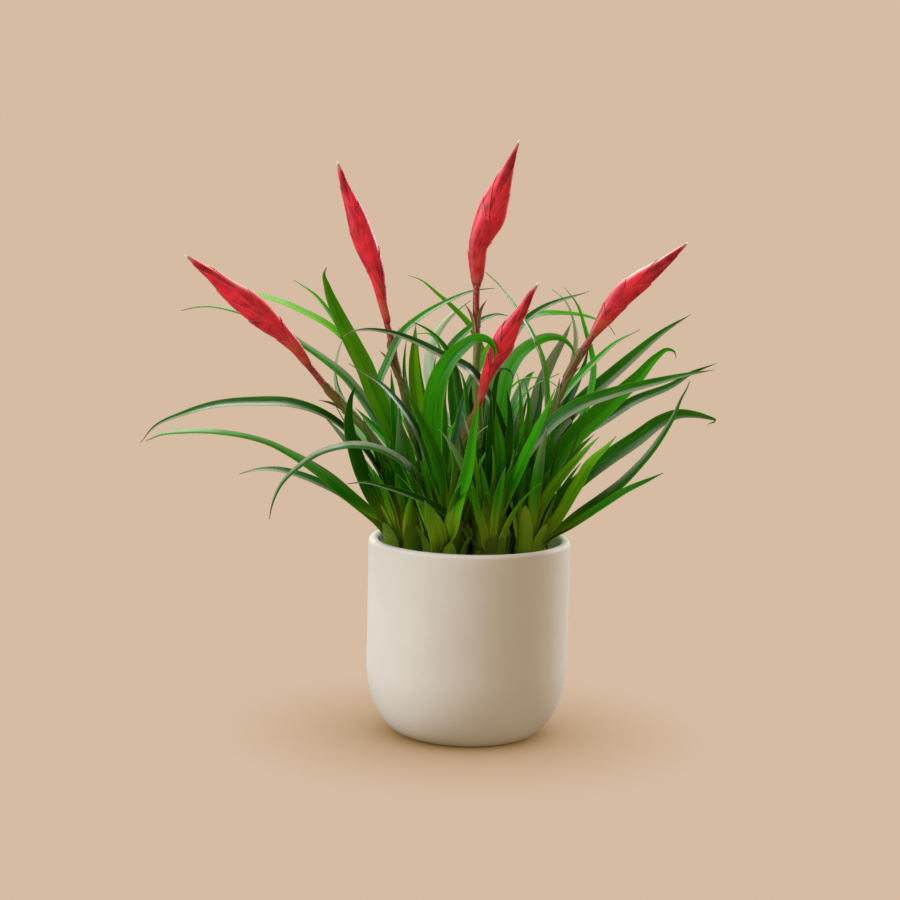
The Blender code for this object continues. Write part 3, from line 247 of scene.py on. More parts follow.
    Leaf("middle", 6, 4.2, -30, 0.7, [(5.5, 193), (7.5, 185), (9.5, 176), (12, 162)]),
    Leaf("middle", 7, 5.5, -44, 0.6, [(0.8, 174), (3, 165), (5, 156), (9, 145)]),
    Leaf("middle", 9, 8, -10, 0.45, [(37, 222), (33, 211), (28, 197), (22, 180), (16, 160)]),
    Leaf("middle", 10, 7.6, -32, 0.6, [
        (56.5, 243.5), (50, 226), (42, 207), (34, 188), (25, 168), (18, 150)]),
    Leaf("middle", 9, 7, -16, 0.5, [(13, 237), (15.5, 222), (18.5, 208), (20.5, 192), (18, 168)]),
    Leaf("middle", 9, 8, -12, 0.15, [(23, 243), (26, 225), (26, 206), (23.5, 186), (19, 165)]),
    Leaf("middle", 8, 6, -20, 0.1, [
        (27.3, 247), (26.6, 252.5), (23, 256), (19.3, 256), (16.5, 250), (14.8, 240), (13.5, 220),
        (13, 190)]),
    Leaf("middle", 7, 5.5, 6, 0.6, [(-12, 258), (-8.5, 252), (-6, 244), (-4, 228), (2, 200)]),
    Leaf("back_right", 9, 8, 14, 0.05, [(-2, 252), (-1.5, 238), (0, 222), (5, 200), (10, 170)]),
    Leaf("back_right", 9, 8, 8, 0.6, [(7, 246), (8, 230), (9.2, 212), (12.4, 185)]),
    Leaf("back_right", 9, 8, 12, 0.05, [(46, 250), (46.5, 236), (44, 220), (36, 190)]),
    Leaf("right", 6, 4.4, -16, 1.0, [
        (29.7, 253.5), (31.6, 246), (32.8, 235), (33.4, 218), (34, 198), (36, 170)]),
    Leaf("right", 8, 6.4, -8, 1.0, [
        (35.7, 247.5), (37.6, 240), (38.8, 230), (38.3, 214), (36.6, 196), (37, 170)]),
    Leaf("right", 4, 2.8, -30, None, [(29, 163), (30.3, 155), (32, 144)]),
    Leaf("right", 5, 3, 15, 1.1, [(53.2, 192.5), (54, 186), (53.5, 178), (50.5, 166), (46, 150)]),
    Leaf("right", 9, 7.5, -22, 1.2, [
        (87.8, 210.8), (81.8, 204.6), (68, 188.8), (58, 176), (50, 162), (44, 146)]),
    Leaf("right", 10, 8.2, -42, 1.4, [
        (99.6, 211.5), (92.9, 203.4), (85.4, 195.7), (80.4, 189.4), (76.2, 180.6), (70.5, 170.8), (65, 160),
        (58.5, 149), (52, 141)]),
    # Fan to the right
    Leaf("back_right", 11.5, 10.6, 48, 0.3, [
        (148, 297), (128, 283.6), (108, 266), (91, 250.2), (77, 237.3), (58, 215), (38, 180)], sheen=0.8),
    Leaf("middle", 9, 6.3, 34, 0.7, [
        (113.5, 285.6), (97.8, 276.8), (82, 262), (68, 246.8), (54, 228.7), (40, 207),
        (25, 175)], sheen=0.8),
    Leaf("right", 14.4, 13.8, 22, 0.85, [
        (139, 266.3), (137.2, 271.2), (132.5, 272.3), (126.5, 268), (113.3, 252.8), (93, 232.5),
        (72.5, 212.5), (56, 190), (46, 160)]),
    Leaf("right", 10, 8.1, 42, 0.15, [
        (167, 263.6), (158, 260), (150, 256.5), (138, 248.4), (110, 235.6), (92.7, 224), (72, 210.5),
        (56, 196), (46, 172)]),
    Leaf("middle", 10, 8.5, -25, 0.25, [
        (165.5, 259), (149, 255.8), (126, 250), (95, 241), (74, 233), (60.5, 224.5), (45, 208),
        (27, 176)], sheen=1),
    Leaf("right", 12, (10.3, 11.6), -25, 0.3, [
        (162, 221), (167.9, 223.7), (160.5, 226.3), (152, 227.8), (141, 227.6), (131, 223.2),
        (113.6, 209.8), (93, 194.6), (75.7, 179.6), (58, 161.5), (48, 146)], sheen=0.4),
    Leaf("right", 12, (8.6, 4.6), -58, 0.1, [
        (148.7, 250.7), (147.3, 246.2), (144.1, 239.7), (138.8, 225.7), (131.8, 212.6), (123.3, 199.6),
        (114.3, 188.5), (103.3, 177), (90.4, 165.8), (69, 149.8), (56.3, 140.5)], sheen=-0.5),
    Leaf("right", 7, 4.2, -50, 0.3, [
        (133, 186.6), (125, 182.3), (107.6, 173.5), (90, 161.5), (72, 148.8), (57, 138.6)], taper=3),
    Leaf("back_right", 11, 9, 24, 0.15, [(72, 236), (68, 222), (60, 206), (50, 188), (36, 160)]),
    Leaf("back_right", 10, 9.4, 30, 0.1, [(78.6, 274), (76.4, 262), (71.6, 249), (63.5, 232), (50, 205)]),
    Leaf("back_right", 10, 8.5, 36, 0.8, [(98, 244), (90, 235), (80, 224), (66, 209), (48, 184)]),
    Leaf("right", 9, 8, 10, 1.2, [(84, 212), (76.5, 204.6), (66.5, 195), (56, 184), (46, 166)]),
]

# Leaves of the back and the inside, spread round their crowns by a rule: how many, the middle
# heading and the spread to each side, the lengths of those at the sides and in the middle (mm),
# and the range of their heading above the horizon at the tip. All angles are in degrees.
FillLeaves = namedtuple("FillLeaves", "crown count middle spread lengths droop")

FILL_LEAVES = [
    FillLeaves("back_left", 5, 100, 55, (95, 160), (-45, 15)),
    FillLeaves("back_right", 5, 80, 55, (95, 160), (-45, 15)),
    FillLeaves("back_left", 3, 270, 120, (75, 95), (45, 70)),
    FillLeaves("back_right", 3, 270, 120, (75, 95), (45, 70)),
    FillLeaves("left", 3, 60, 90, (70, 100), (35, 65)),
    FillLeaves("front", 2, 30, 90, (50, 75), (45, 70)),
    FillLeaves("middle", 3, 100, 120, (60, 90), (45, 70)),
    FillLeaves("right", 3, 120, 90, (70, 100), (35, 65)),
]
FILL_WIDE = (8, 12)
FILL_RISE = (70, 84)             # degrees above level at the root
FILL_STRAY = 8                   # degrees to each side
FILL_STRETCH = (0.9, 1.1)
FILL_BEND = 1.3                  # above 1, a leaf arches more towards its tip
FILL_STEPS = 40
FILL_SEED = 11
# How far a leaf is bent back (mm) or turned (degrees) to clear the rest, in the order tried
PUSHES = (0, 7, -7, 14, -14, 21, -21, 28, -28, 36, -36, 45, -45, 55, -55, 66, -66)
TURNS = (0, 9, -9, 18, -18, 27, -27, 36, -36)
CLEARANCE = 0.7                  # mm more width and thickness while a leaf is tested

# Small leaves inside the crowns, which the CAD model leaves out: how many in each, and two more
INNER_LEAVES = {"left": 20, "front": 20, "middle": 22, "right": 20, "back_left": 22, "back_right": 22}
INNER_SEEN = [
    Leaf("back_left", 13, 12, -4, None, [(6, 172), (1, 160), (-5, 149), (-11, 139)]),
    Leaf("back_right", 13, 12, 0, None, [(-8, 170), (-2, 158), (5, 147), (11, 139)]),
]
INNER_LENGTHS = (45, 115)
INNER_WIDE = (5, 9)
INNER_RISE = (72, 88)
INNER_DROOP = (35, 78)
INNER_SEED = 23
GOLDEN_ANGLE = 137.5             # degrees from one small leaf or sheath to the next

# Flower spikes: the stem's points as seen, from crown to head, then the head's points with its
# width, from base to tip. deep is how far the head's tip lies behind its crown.
Spike = namedtuple("Spike", "crown deep stem head")

SPIKES = [
    Spike("left", -18,
          [(-46, 172), (-55, 189), (-66, 203), (-78, 217), (-90, 229), (-100, 239), (-109, 250)],
          [(-112.5, 254, 5.2), (-122.5, 267.5, 8), (-131, 276, 10.4), (-141.2, 284.8, 15.2),
           (-150.5, 292.8, 17.5), (-160, 300, 17), (-170, 307.2, 13), (-180, 315.5, 9),
           (-191.6, 323.8, 4.5), (-199.5, 329.7, 1)]),
    Spike("back_left", 20,
          [(-26, 172), (-37, 197), (-43.5, 218), (-48.5, 240), (-55, 262), (-58.5, 280)],
          [(-59.7, 284, 5), (-61, 290, 5.5), (-63.7, 300, 6), (-65.8, 310, 7.8), (-68, 320, 10.8),
           (-72, 330, 14), (-76, 340, 15.5), (-81.7, 355, 14.3), (-85.3, 365, 11.3), (-89.3, 375, 8),
           (-93, 385, 5), (-96.2, 396, 1)]),
    Spike("back_right", 28,
          [(14, 175), (8, 197), (4, 222), (1.7, 250), (1.5, 280), (0.5, 300)],
          [(0.6, 312, 6), (0.8, 320, 9), (0.6, 330, 11.6), (0.7, 340, 13.2), (4.5, 350, 17.8),
           (8.9, 360, 20.6), (11.9, 370, 18.5), (15.6, 380, 14.4), (19, 390, 9.8), (22.5, 400, 5.2),
           (27.3, 412.6, 1)]),
    Spike("front", -26,
          [(-13.6, 171), (-10.6, 188), (-7.5, 202), (-3.5, 213), (0.7, 222.5)],
          [(3, 229, 4.5), (6.4, 240, 5.5), (8.7, 250, 7.5), (13, 260, 10.8), (17.9, 270, 15),
           (22.3, 280, 14.3), (27.7, 290, 9.8), (33.9, 300, 6.8), (39, 310, 3.4), (43, 316, 1)]),
    Spike("right", 20,
          [(43, 178), (48, 200), (54, 222), (60, 240), (66, 255), (71, 264), (75.5, 272)],
          [(80, 278.8, 5), (84.8, 286.3, 7.8), (89.8, 293.6, 11.2), (95.6, 302.5, 14),
           (103.2, 311.2, 15.4), (112.5, 319.2, 14.2), (121.6, 326.3, 10.8), (132.7, 335.8, 6.4),
           (144.3, 346, 1)]),
]
HEAD_FLATNESS = 0.6              # depth over width
SPIKE_BEND = 1.2                 # above 1, a spike leans back more towards its tip
STEM_RADIUS = 2.7
STEM_TOP_RADIUS = 2.3
STEM_TUCK = 1.5                  # how far the stem runs into its head
THINNEST = 0.8                   # mm, the least width of a head
CURVE_SAMPLES = 200

# Finer sections of what the render shows
FINE_RING = 2.4                  # mm of leaf between cross-sections
FEWEST_FINE_RINGS = 12
FINE_ACROSS = 9                  # points across a leaf
FINE_THICKNESS = 0.8             # a leaf's thickness over the CAD model's
FINE_EDGE = 0.3                  # thickness of a leaf's margin over its middle
FOLD_POWER = 1.35                # above 1, the fold is rounder along the midrib
LEAF_TWIST = 4                   # degrees a leaf turns to and fro along its length
TWIST_WAVES = 5                  # radians of that wave along a leaf
TWIST_FULL = 1 / 3               # share of a leaf by which it twists in full
LEAF_SWELL = 0.04                # how much its width varies
SWELL_WAVES = 9                  # radians of that wave along a leaf
NARROWEST_HALF = 0.2             # mm
WRAP_ACROSS = 13                 # points across a bract or sheath
WRAP_TAPER = 2.4                 # above 1, it narrows mostly near its tip
WRAP_ROUNDNESS = 0.75            # below 1, its tip is rounder
WRAP_NARROWEST = 0.02            # share of its spread left at the tip, before WRAP_ROUNDNESS
WRAP_EDGE = 0.35                 # thickness of its margin and of its tip over its middle
SHARP_ANGLE = 50                 # degrees between faces above which an edge stays sharp
POT_SHARP_ANGLE = 60
LOOKS_SEED = 5


def smooth_step(value):
    value = min(1.0, max(0.0, value))
    return value * value * (3 - 2 * value)


def distances(line):
    """How far along a line of points each of them is."""
    run = [0.0]
    for a, b in zip(line, line[1:]):
        run.append(run[-1] + math.dist(a, b))
    return run


def along(points, fractions):
    """Places at fractions of the length of one smooth curve through the points."""
    points = np.asarray(points, float)
    run = np.concatenate([[0], np.cumsum(np.linalg.norm(np.diff(points, axis=0), axis=1))])
    slopes = np.gradient(points, run, axis=0)

    def curve(at):
        i = np.clip(np.searchsorted(run, at, side="right") - 1, 0, len(run) - 2)
        step = (run[i + 1] - run[i])[:, None]
        t = (at - run[i])[:, None] / step
        return ((2 * t**3 - 3 * t**2 + 1) * points[i] + (t**3 - 2 * t**2 + t) * step * slopes[i]
                + (3 * t**2 - 2 * t**3) * points[i + 1] + (t**3 - t**2) * step * slopes[i + 1])

    dense_at = np.linspace(0, run[-1], CURVE_SAMPLES)
    dense = curve(dense_at)
    true_run = np.concatenate([[0], np.cumsum(np.linalg.norm(np.diff(dense, axis=0), axis=1))])
    return curve(np.interp(np.asarray(fractions) * true_run[-1], true_run, dense_at))


def true_place(seen_x, seen_z, depth):
    """The point at this depth that shows at (seen_x, seen_z) on the plane y = 0."""
    share = (depth - EYE[1]) / -EYE[1]
    return Vector((EYE[0] + (seen_x - EYE[0]) * share, depth, EYE[2] + (seen_z - EYE[2]) * share))


def seen_place(point):
    """Where a point shows on the plane y = 0."""
    share = -EYE[1] / (point[1] - EYE[1])
    return EYE[0] + (point[0] - EYE[0]) * share, EYE[2] + (point[2] - EYE[2]) * share


def places_along(rows, shares):
    """Places at shares of the length of a line. Its rows start with seen x, seen z and depth."""
    return [true_place(*row[:3]) for row in along(rows, shares)]


def unit(vector):
    return vector.normalized()


def square_to(vector, axis):
    """The part of vector that is square to axis, at length 1."""
    return unit(vector - axis * vector.dot(axis))


def headings(path):
    last = len(path) - 1
    return [unit(path[min(i + 1, last)] - path[max(i - 1, 0)]) for i in range(len(path))]


# Leaves and where they fit

def coarse_blade(path, normals, widths, thicknesses, folds):
    """The CAD model's blade, which decides how far a leaf is bent to clear the rest."""
    points = []
    faces = []
    directions = headings(path)
    for i, centre in enumerate(path[:-1]):
        normal = square_to(normals[i], directions[i])
        across = directions[i].cross(normal)
        half = widths[i] / 2
        rise = normal * (half * folds[i] / 2)
        keel = centre - rise
        swell = normal * (thicknesses[i] / 2)
        points += [centre - across * half + rise, keel + swell, centre + across * half + rise,
                   keel - swell]
    for i in range(len(path) - 2):
        a, b = 4 * i, 4 * i + 4
        for edge in (0, 2):
            for middle in (1, 3):
                turn = (edge == 0) == (middle == 1)
                quad = [(a + edge, b + middle, b + edge), (a + edge, a + middle, b + middle)]
                faces += [face if turn else face[::-1] for face in quad]
    tip = len(points)
    points.append(path[-1])
    end = tip - 4
    faces += [(end + k, end + (k + 1) % 4, tip) for k in range(4)]
    faces += [(0, 3, 1), (3, 2, 1)]
    return points, faces


def leaf_width(share, taper):
    """The leaf's width over its full width, from root (0) to tip (1)."""
    sheath = 1 + SHEATH_SPREAD * (1 - smooth_step(share / SHEATH_END))
    past = max(0.0, (share - TAPER_START) / (1 - TAPER_START))
    return sheath * (1 - past**taper)


def shown_width(leaf, share):
    root, tip = leaf.shown if isinstance(leaf.shown, tuple) else (leaf.shown, leaf.shown)
    return root + (tip - root) * smooth_step((share - TURN_START) / TURN_LENGTH)


def leaf_sizes(blade, extra=0.0):
    """The widths, thicknesses and folds of a blade's sections."""
    left = [leaf_width(share, blade.taper) for share in blade.shares]
    widths = [max(blade.wide * share + extra, LEAF_THICKNESS) for share in left]
    thicknesses = [LEAF_THICKNESS * (1 - (1 - LEAF_TIP_THICKNESS) * (1 - share)) + extra for share in left]
    folds = [LEAF_FOLD + SHEATH_FOLD * (1 - smooth_step(share / SHEATH_END)) for share in blade.shares]
    return widths, thicknesses, folds


def coarse_shares(length):
    """The places of the CAD model's sections along a leaf, closer together towards the tip."""
    count = FEWEST_RINGS + int(length / RING_EVERY)
    return 1 - (1 - np.linspace(0, 1, count))**RING_CROWDING


def fine_shares(length):
    return np.linspace(0, 1, max(FEWEST_FINE_RINGS, int(length / FINE_RING)))


Blade = namedtuple("Blade", "path normals shares wide taper tone sheen")


def seen_leaf(leaf, push, shares_for):
    """A leaf through its seen points, bent push mm further back."""
    crown_x, crown_y = CROWNS[leaf.crown]
    line = [seen_place((crown_x, crown_y, ROOT_HEIGHT))] + list(leaf.seen[::-1])
    run = distances(line)
    depths = [crown_y + leaf.deep * at / run[-1] + push * smooth_step(at / run[-1] / BEND_END)
              for at in run]
    near = next(i for i, at in enumerate(run) if at > ROOT_AIM * run[-1])
    start = true_place(*line[near], depths[near])
    outward = unit(Vector((start.x - crown_x, start.y - crown_y, 0)))
    root = Vector((crown_x, crown_y, ROOT_HEIGHT)) + outward * ROOT_RADIUS
    rows = [(*seen_place(root), root.y)] + [(x, z, depth) for (x, z), depth in zip(line, depths)][1:]
    shares = shares_for(run[-1])
    path = places_along(rows, shares)
    side = 1 if leaf.seen[0][0] > line[0][0] else -1
    normals = []
    for point, heading, share in zip(path, headings(path), shares):
        to_eye = square_to(Vector(EYE) - point, heading)
        above = to_eye.cross(heading) * side
        turn = math.asin(max(-1.0, min(1.0, shown_width(leaf, share) / leaf.wide)))
        shown = above * math.cos(turn) + to_eye * math.sin(turn)
        blend = smooth_step(share / ROOT_TURN_END)
        sheath = square_to(-outward, heading)
        if sheath.dot(shown) < OPPOSED:
            sheath = sheath + above / 2
        normals.append(sheath * (1 - blend) + shown * blend)
    return Blade(path, normals, shares, leaf.wide, leaf.taper, leaf.tone, leaf.sheen)


def fill_leaf(crown, heading, length, wide, rise, droop, shares_for):
    """A leaf that rises from its crown at a heading and arches over. Its angles are in degrees."""
    crown_x, crown_y = CROWNS[crown]
    heading, rise, droop = math.radians(heading), math.radians(rise), math.radians(droop)
    outward = Vector((math.cos(heading), math.sin(heading), 0))
    place = Vector((crown_x, crown_y, ROOT_HEIGHT)) + outward * ROOT_RADIUS
    step = length / FILL_STEPS
    rows = [tuple(place)]
    for i in range(FILL_STEPS):
        slope = rise + (droop - rise) * ((i + 0.5) / FILL_STEPS)**FILL_BEND
        place = place + (outward * math.cos(slope) + Vector((0, 0, math.sin(slope)))) * step
        rows.append(tuple(place))
    shares = shares_for(length)
    path = [Vector(row) for row in along(rows, shares)]
    across = outward.cross(Vector((0, 0, 1)))
    normals = [across.cross(direction) for direction in headings(path)]
    if normals[0].dot(outward) > 0:
        normals = [-normal for normal in normals]
    return Blade(path, normals, shares, wide, TAPER_POWER, None, 0)


def coarse_tree(blade, extra=0.0):
    points, faces = coarse_blade(blade.path, blade.normals, *leaf_sizes(blade, extra))
    return BVHTree.FromPolygons([point * MM for point in points], faces, all_triangles=True)


def tree_of(thing):
    mesh = thing.data
    mesh.calc_loop_triangles()
    points = [thing.matrix_world @ vertex.co for vertex in mesh.vertices]
    return BVHTree.FromPolygons(points, [tuple(t.vertices) for t in mesh.loop_triangles])


def stub_profile(crown):
    """The outline (radius, height) of a crown's own body, with a socket where a stem stands."""
    shoulder = ((CROWN_NECK + CROWN_BELLY) / 2,
                (CROWN_TOP + CROWN_BELLY_HEIGHT) / 2 + CROWN_SHOULDER_RISE)
    side = [(CROWN_NECK, CROWN_TOP), shoulder, (CROWN_BELLY, CROWN_BELLY_HEIGHT),
            (CROWN_RADIUS, SOIL_TOP + SOIL_RISE + SOIL_GAP), (CROWN_RADIUS, CROWN_FOOT), (0, CROWN_FOOT)]
    if any(spike.crown == crown for spike in SPIKES):
        return [(0, SOCKET_FOOT), (SOCKET_RADIUS, SOCKET_FOOT), (SOCKET_RADIUS, CROWN_TOP)] + side
    return [(0, CROWN_TOP)] + side


def turned_grid(profile, sides, middle=(0, 0)):
    """Points of a profile of (radius, height) turned about an upright axis: rings, then sides."""
    angles = np.linspace(0, 2 * math.pi, sides, endpoint=False)
    profile = np.asarray(profile, float)
    grid = np.zeros((len(profile), sides, 3))
    grid[:, :, 0] = middle[0] + profile[:, :1] * np.cos(angles)
    grid[:, :, 1] = middle[1] + profile[:, :1] * np.sin(angles)
    grid[:, :, 2] = profile[:, 1:2]
    return grid


def stub_tree(crown):
    points, faces, _ = ring_skin(turned_grid(stub_profile(crown), CROWN_SIDES, CROWNS[crown]))
    return BVHTree.FromPolygons([Vector(point) * MM for point in points], faces)


def place_leaves():
    """Each crown's leaves at fine sections, bent clear as the CAD model bends them."""
    fixed = [tree_of(thing) for name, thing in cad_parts.items()
             if name.startswith(("pot", "soil", "stem", "head"))]
    blades = {crown: [] for crown in CROWNS}
    trees = {crown: [stub_tree(crown)] for crown in CROWNS}

    def add_first_clear(crown, shapes):
        """Adds the first of a leaf's shapes that keeps clear of the other nodes, if one does."""
        others = fixed + [tree for name in CROWNS if name != crown for tree in trees[name]]
        for shape in shapes:
            coarse = shape(coarse_shares)
            swollen = coarse_tree(coarse, CLEARANCE)
            if not any(swollen.overlap(other) for other in others):
                trees[crown].append(coarse_tree(coarse))
                blades[crown].append(shape(fine_shares))
                return

    def add_seen(leaf):
        add_first_clear(leaf.crown, [partial(seen_leaf, leaf, push) for push in PUSHES])

    def add_turned(crown, heading, *rest):
        add_first_clear(crown, [partial(fill_leaf, crown, heading + turn, *rest) for turn in TURNS])

    for leaf in SEEN_LEAVES:
        add_seen(leaf)

    draw = random.Random(FILL_SEED)
    for fill in FILL_LEAVES:
        for i in range(fill.count):
            offset = (i + 0.5) / fill.count * 2 - 1
            heading = fill.middle + fill.spread * offset + draw.uniform(-FILL_STRAY, FILL_STRAY)
            length = fill.lengths[1] + (fill.lengths[0] - fill.lengths[1]) * abs(offset)
            length *= draw.uniform(*FILL_STRETCH)
            wide, rise, droop = [draw.uniform(*ends) for ends in (FILL_WIDE, FILL_RISE, fill.droop)]
            add_turned(fill.crown, heading, length, wide, rise, droop)

    for leaf in INNER_SEEN:
        add_seen(leaf)

    draw = random.Random(INNER_SEED)
    for crown, count in INNER_LEAVES.items():
        for i in range(count):
            shape = [draw.uniform(*ends) for ends in (INNER_LENGTHS, INNER_WIDE, INNER_RISE, INNER_DROOP)]
            heading = i * GOLDEN_ANGLE + draw.uniform(-FILL_STRAY, FILL_STRAY)
            add_turned(crown, heading, *shape)
    return blades


# Skins. Each gives points in mm, faces, and the marks that a material reads.

def ring_skin(grid, **marks):
    """A closed skin over rings of points that run anticlockwise as seen from the last ring."""
    size = grid.shape[:2]
    index = np.arange(size[0] * size[1]).reshape(size)
    turned = np.roll(index, -1, axis=1)
    sides = np.stack([index[:-1], turned[:-1], turned[1:], index[1:]], axis=-1)
    faces = [tuple(face) for face in [*sides.reshape(-1, 4).tolist(), index[0][::-1].tolist(),
                                      index[-1].tolist()]]
    return grid.reshape(-1, 3), faces, {name: np.broadcast_to(values, size).reshape(-1)
                                        for name, values in marks.items()}


def slab_skin(top, bottom, **marks):
    """A closed skin round two grids of points, one over the other. Both have the same marks."""
    size = top.shape[:2]
    upper = np.arange(size[0] * size[1]).reshape(size)
    lower = upper + upper.size

    def quads(a, b, c, d):
        return np.stack([a, b, c, d], axis=-1).reshape(-1, 4)

    def strip(u, v):
        return quads(u[:-1], u[1:], v[1:], v[:-1])

    faces = [
        quads(upper[:-1, :-1], upper[:-1, 1:], upper[1:, 1:], upper[1:, :-1]),
        quads(lower[:-1, :-1], lower[1:, :-1], lower[1:, 1:], lower[:-1, 1:]),
        strip(upper[:, 0], lower[:, 0]),
        strip(lower[:, -1], upper[:, -1]),
        strip(lower[0], upper[0]),
        strip(upper[-1], lower[-1]),
    ]
    both = {name: np.tile(np.broadcast_to(values, size).reshape(-1), 2) for name, values in marks.items()}
    both["under"] = np.repeat([0.0, 1.0], upper.size)
    return (np.concatenate([top.reshape(-1, 3), bottom.reshape(-1, 3)]),
            [tuple(face) for face in np.concatenate(faces).tolist()], both)


def build_piece(name, skins, marks, material, replaced, sharp=SHARP_ANGLE):
    """Closed skins as one object, with the marks of these names as point attributes."""
    mesh = bpy.data.meshes.new(name)
    points = np.concatenate([skin[0] for skin in skins]) * MM
    faces = []
    count = 0
    for skin in skins:
        faces += [tuple(corner + count for corner in face) for face in skin[1]]
        count += len(skin[0])
    mesh.from_pydata(points.tolist(), [], faces)
    for mark in marks:
        values = [np.broadcast_to(skin[2].get(mark, 0.0), (len(skin[0]),)) for skin in skins]
        layer = mesh.attributes.new(mark, "FLOAT", "POINT")
        layer.data.foreach_set("value", np.concatenate(values).astype(np.float32))
    mesh.shade_smooth()
    mesh.set_sharp_from_angle(angle=math.radians(sharp))
    mesh.materials.append(material)
    piece = bpy.data.objects.new(name, mesh)
    plant.objects.link(piece)
    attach(piece, "root")
    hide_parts(replaced)


def fine_leaf(blade, draw):
    """A folded blade with a rounded midrib, thin margins and a slight twist."""
    widths, thicknesses, folds = leaf_sizes(blade)
    twist_at, swell_at = draw.uniform(0, 2 * math.pi), draw.uniform(0, 2 * math.pi)
    any_tone = draw.random()
    t = np.linspace(-1, 1, FINE_ACROSS)
    top = np.zeros((len(blade.path), FINE_ACROSS, 3))
    bottom = np.zeros_like(top)
    for i, (centre, heading) in enumerate(zip(blade.path, headings(blade.path))):
        share = blade.shares[i]
        twist = LEAF_TWIST * math.sin(twist_at + TWIST_WAVES * share) * smooth_step(share / TWIST_FULL)
        normal = Matrix.Rotation(math.radians(twist), 3, heading) @ square_to(blade.normals[i], heading)
        across = heading.cross(normal)
        half = widths[i] / 2 * (1 + LEAF_SWELL * math.sin(swell_at + SWELL_WAVES * share))
        if share > TAPER_START:
            half = max(NARROWEST_HALF, blade.wide / 2 * leaf_width(share, blade.taper))
        rise = half * folds[i] * (np.abs(t)**FOLD_POWER - 0.5)
        thick = thicknesses[i] * FINE_THICKNESS * (FINE_EDGE + (1 - FINE_EDGE) * (1 - t**2)) / 2
        middle = np.array(centre) + np.outer(t * half, across) + np.outer(rise, normal)
        top[i] = middle + np.outer(thick, normal)
        bottom[i] = middle - np.outer(thick, normal)
    shares = np.asarray(blade.shares)[:, None]
    return slab_skin(top, bottom, along=shares, across=t, sheen=blade.sheen,
                     tone=any_tone if blade.tone is None else blade.tone,
                     reach=shares * distances(blade.path)[-1])


def wrap_skin(sections, facing, spread, thickness, **marks):
    """A pointed sheath round a stem. sections are rows of (centre, side, front, lift, share): the
    half-axes of the stem there, how far outside it the sheath lies, and how far along itself."""
    t = np.linspace(-1, 1, WRAP_ACROSS)
    outer = np.zeros((len(sections), WRAP_ACROSS, 3))
    inner = np.zeros_like(outer)
    for i, (centre, side, front, lift, share) in enumerate(sections):
        narrowing = max(WRAP_NARROWEST, 1 - share**WRAP_TAPER)**WRAP_ROUNDNESS
        angles = math.radians(facing) + t * math.radians(spread) * narrowing
        ring = np.outer(np.cos(angles), side) + np.outer(np.sin(angles), front)
        away = ring / np.maximum(np.linalg.norm(ring, axis=1, keepdims=True), 0.01)
        thin = thickness * (WRAP_EDGE + (1 - WRAP_EDGE) * (1 - share))
        thin = thin * (WRAP_EDGE + (1 - WRAP_EDGE) * (1 - t**2))
        outer[i] = np.array(centre) + ring + away * lift
        inner[i] = outer[i] - away * thin[:, None]
    shares = np.array([section[-1] for section in sections])[:, None]
    return slab_skin(outer[:, ::-1], inner[:, ::-1], along=shares, across=t, **marks)


# Crown sheaths: short pointed leaf bases wrapped round each crown
STUB_SIDES = 32
STUB_TONE = 0.5
SHEATH_COUNT = 14
SHEATH_FOOT = 120
SHEATH_STRAY = 15                # degrees
SHEATH_REACH = (24, 56)          # mm
SHEATH_SPAN = (20, 34)           # degrees to each side
SHEATH_LEAN = (3, 13)            # mm its tip stands off the crown
SHEATH_STEP = 0.12               # mm each sheath lies outside the next
SHEATH_CLEAR = 0.25              # mm more between the crown and the last one
SHEATH_THICKNESS = 0.7
SHEATH_ROWS = 16


def stub_radius(height):
    """The crown's radius at a height above the soil."""
    profile = sorted((z, r) for r, z in stub_profile("front")[-5:-1])
    return float(np.interp(height, [z for z, _ in profile], [r for _, r in profile]))


def crown_skins(crown, draw):
    """The crown in the soil with the old leaf bases round it."""
    x, y = CROWNS[crown]
    stub = turned_grid(stub_profile(crown), STUB_SIDES, (x, y))
    skins = [ring_skin(stub, sheath=1.0, tone=STUB_TONE)]
    for i in range(SHEATH_COUNT):
        facing = i * GOLDEN_ANGLE + draw.uniform(-SHEATH_STRAY, SHEATH_STRAY)
        reach, lean, spread = [draw.uniform(*ends) for ends in (SHEATH_REACH, SHEATH_LEAN, SHEATH_SPAN)]
        layer = SHEATH_CLEAR + SHEATH_STEP * (SHEATH_COUNT - i)
        sections = []
        for share in np.linspace(0, 1, SHEATH_ROWS):
            height = SHEATH_FOOT + reach * share
            radius = stub_radius(height)
            sections.append(((x, y, height), (radius, 0, 0), (0, radius, 0), layer + lean * share**2, share))
        skins.append(wrap_skin(sections, facing, spread, SHEATH_THICKNESS, tone=draw.random(), sheath=1.0))
    return skins


# Flower stems
STEM_SIDES = 20
STEM_RING = 1.6                  # mm between rings
STEM_RISE = 2                    # mm above its crown up to which a stem is straight
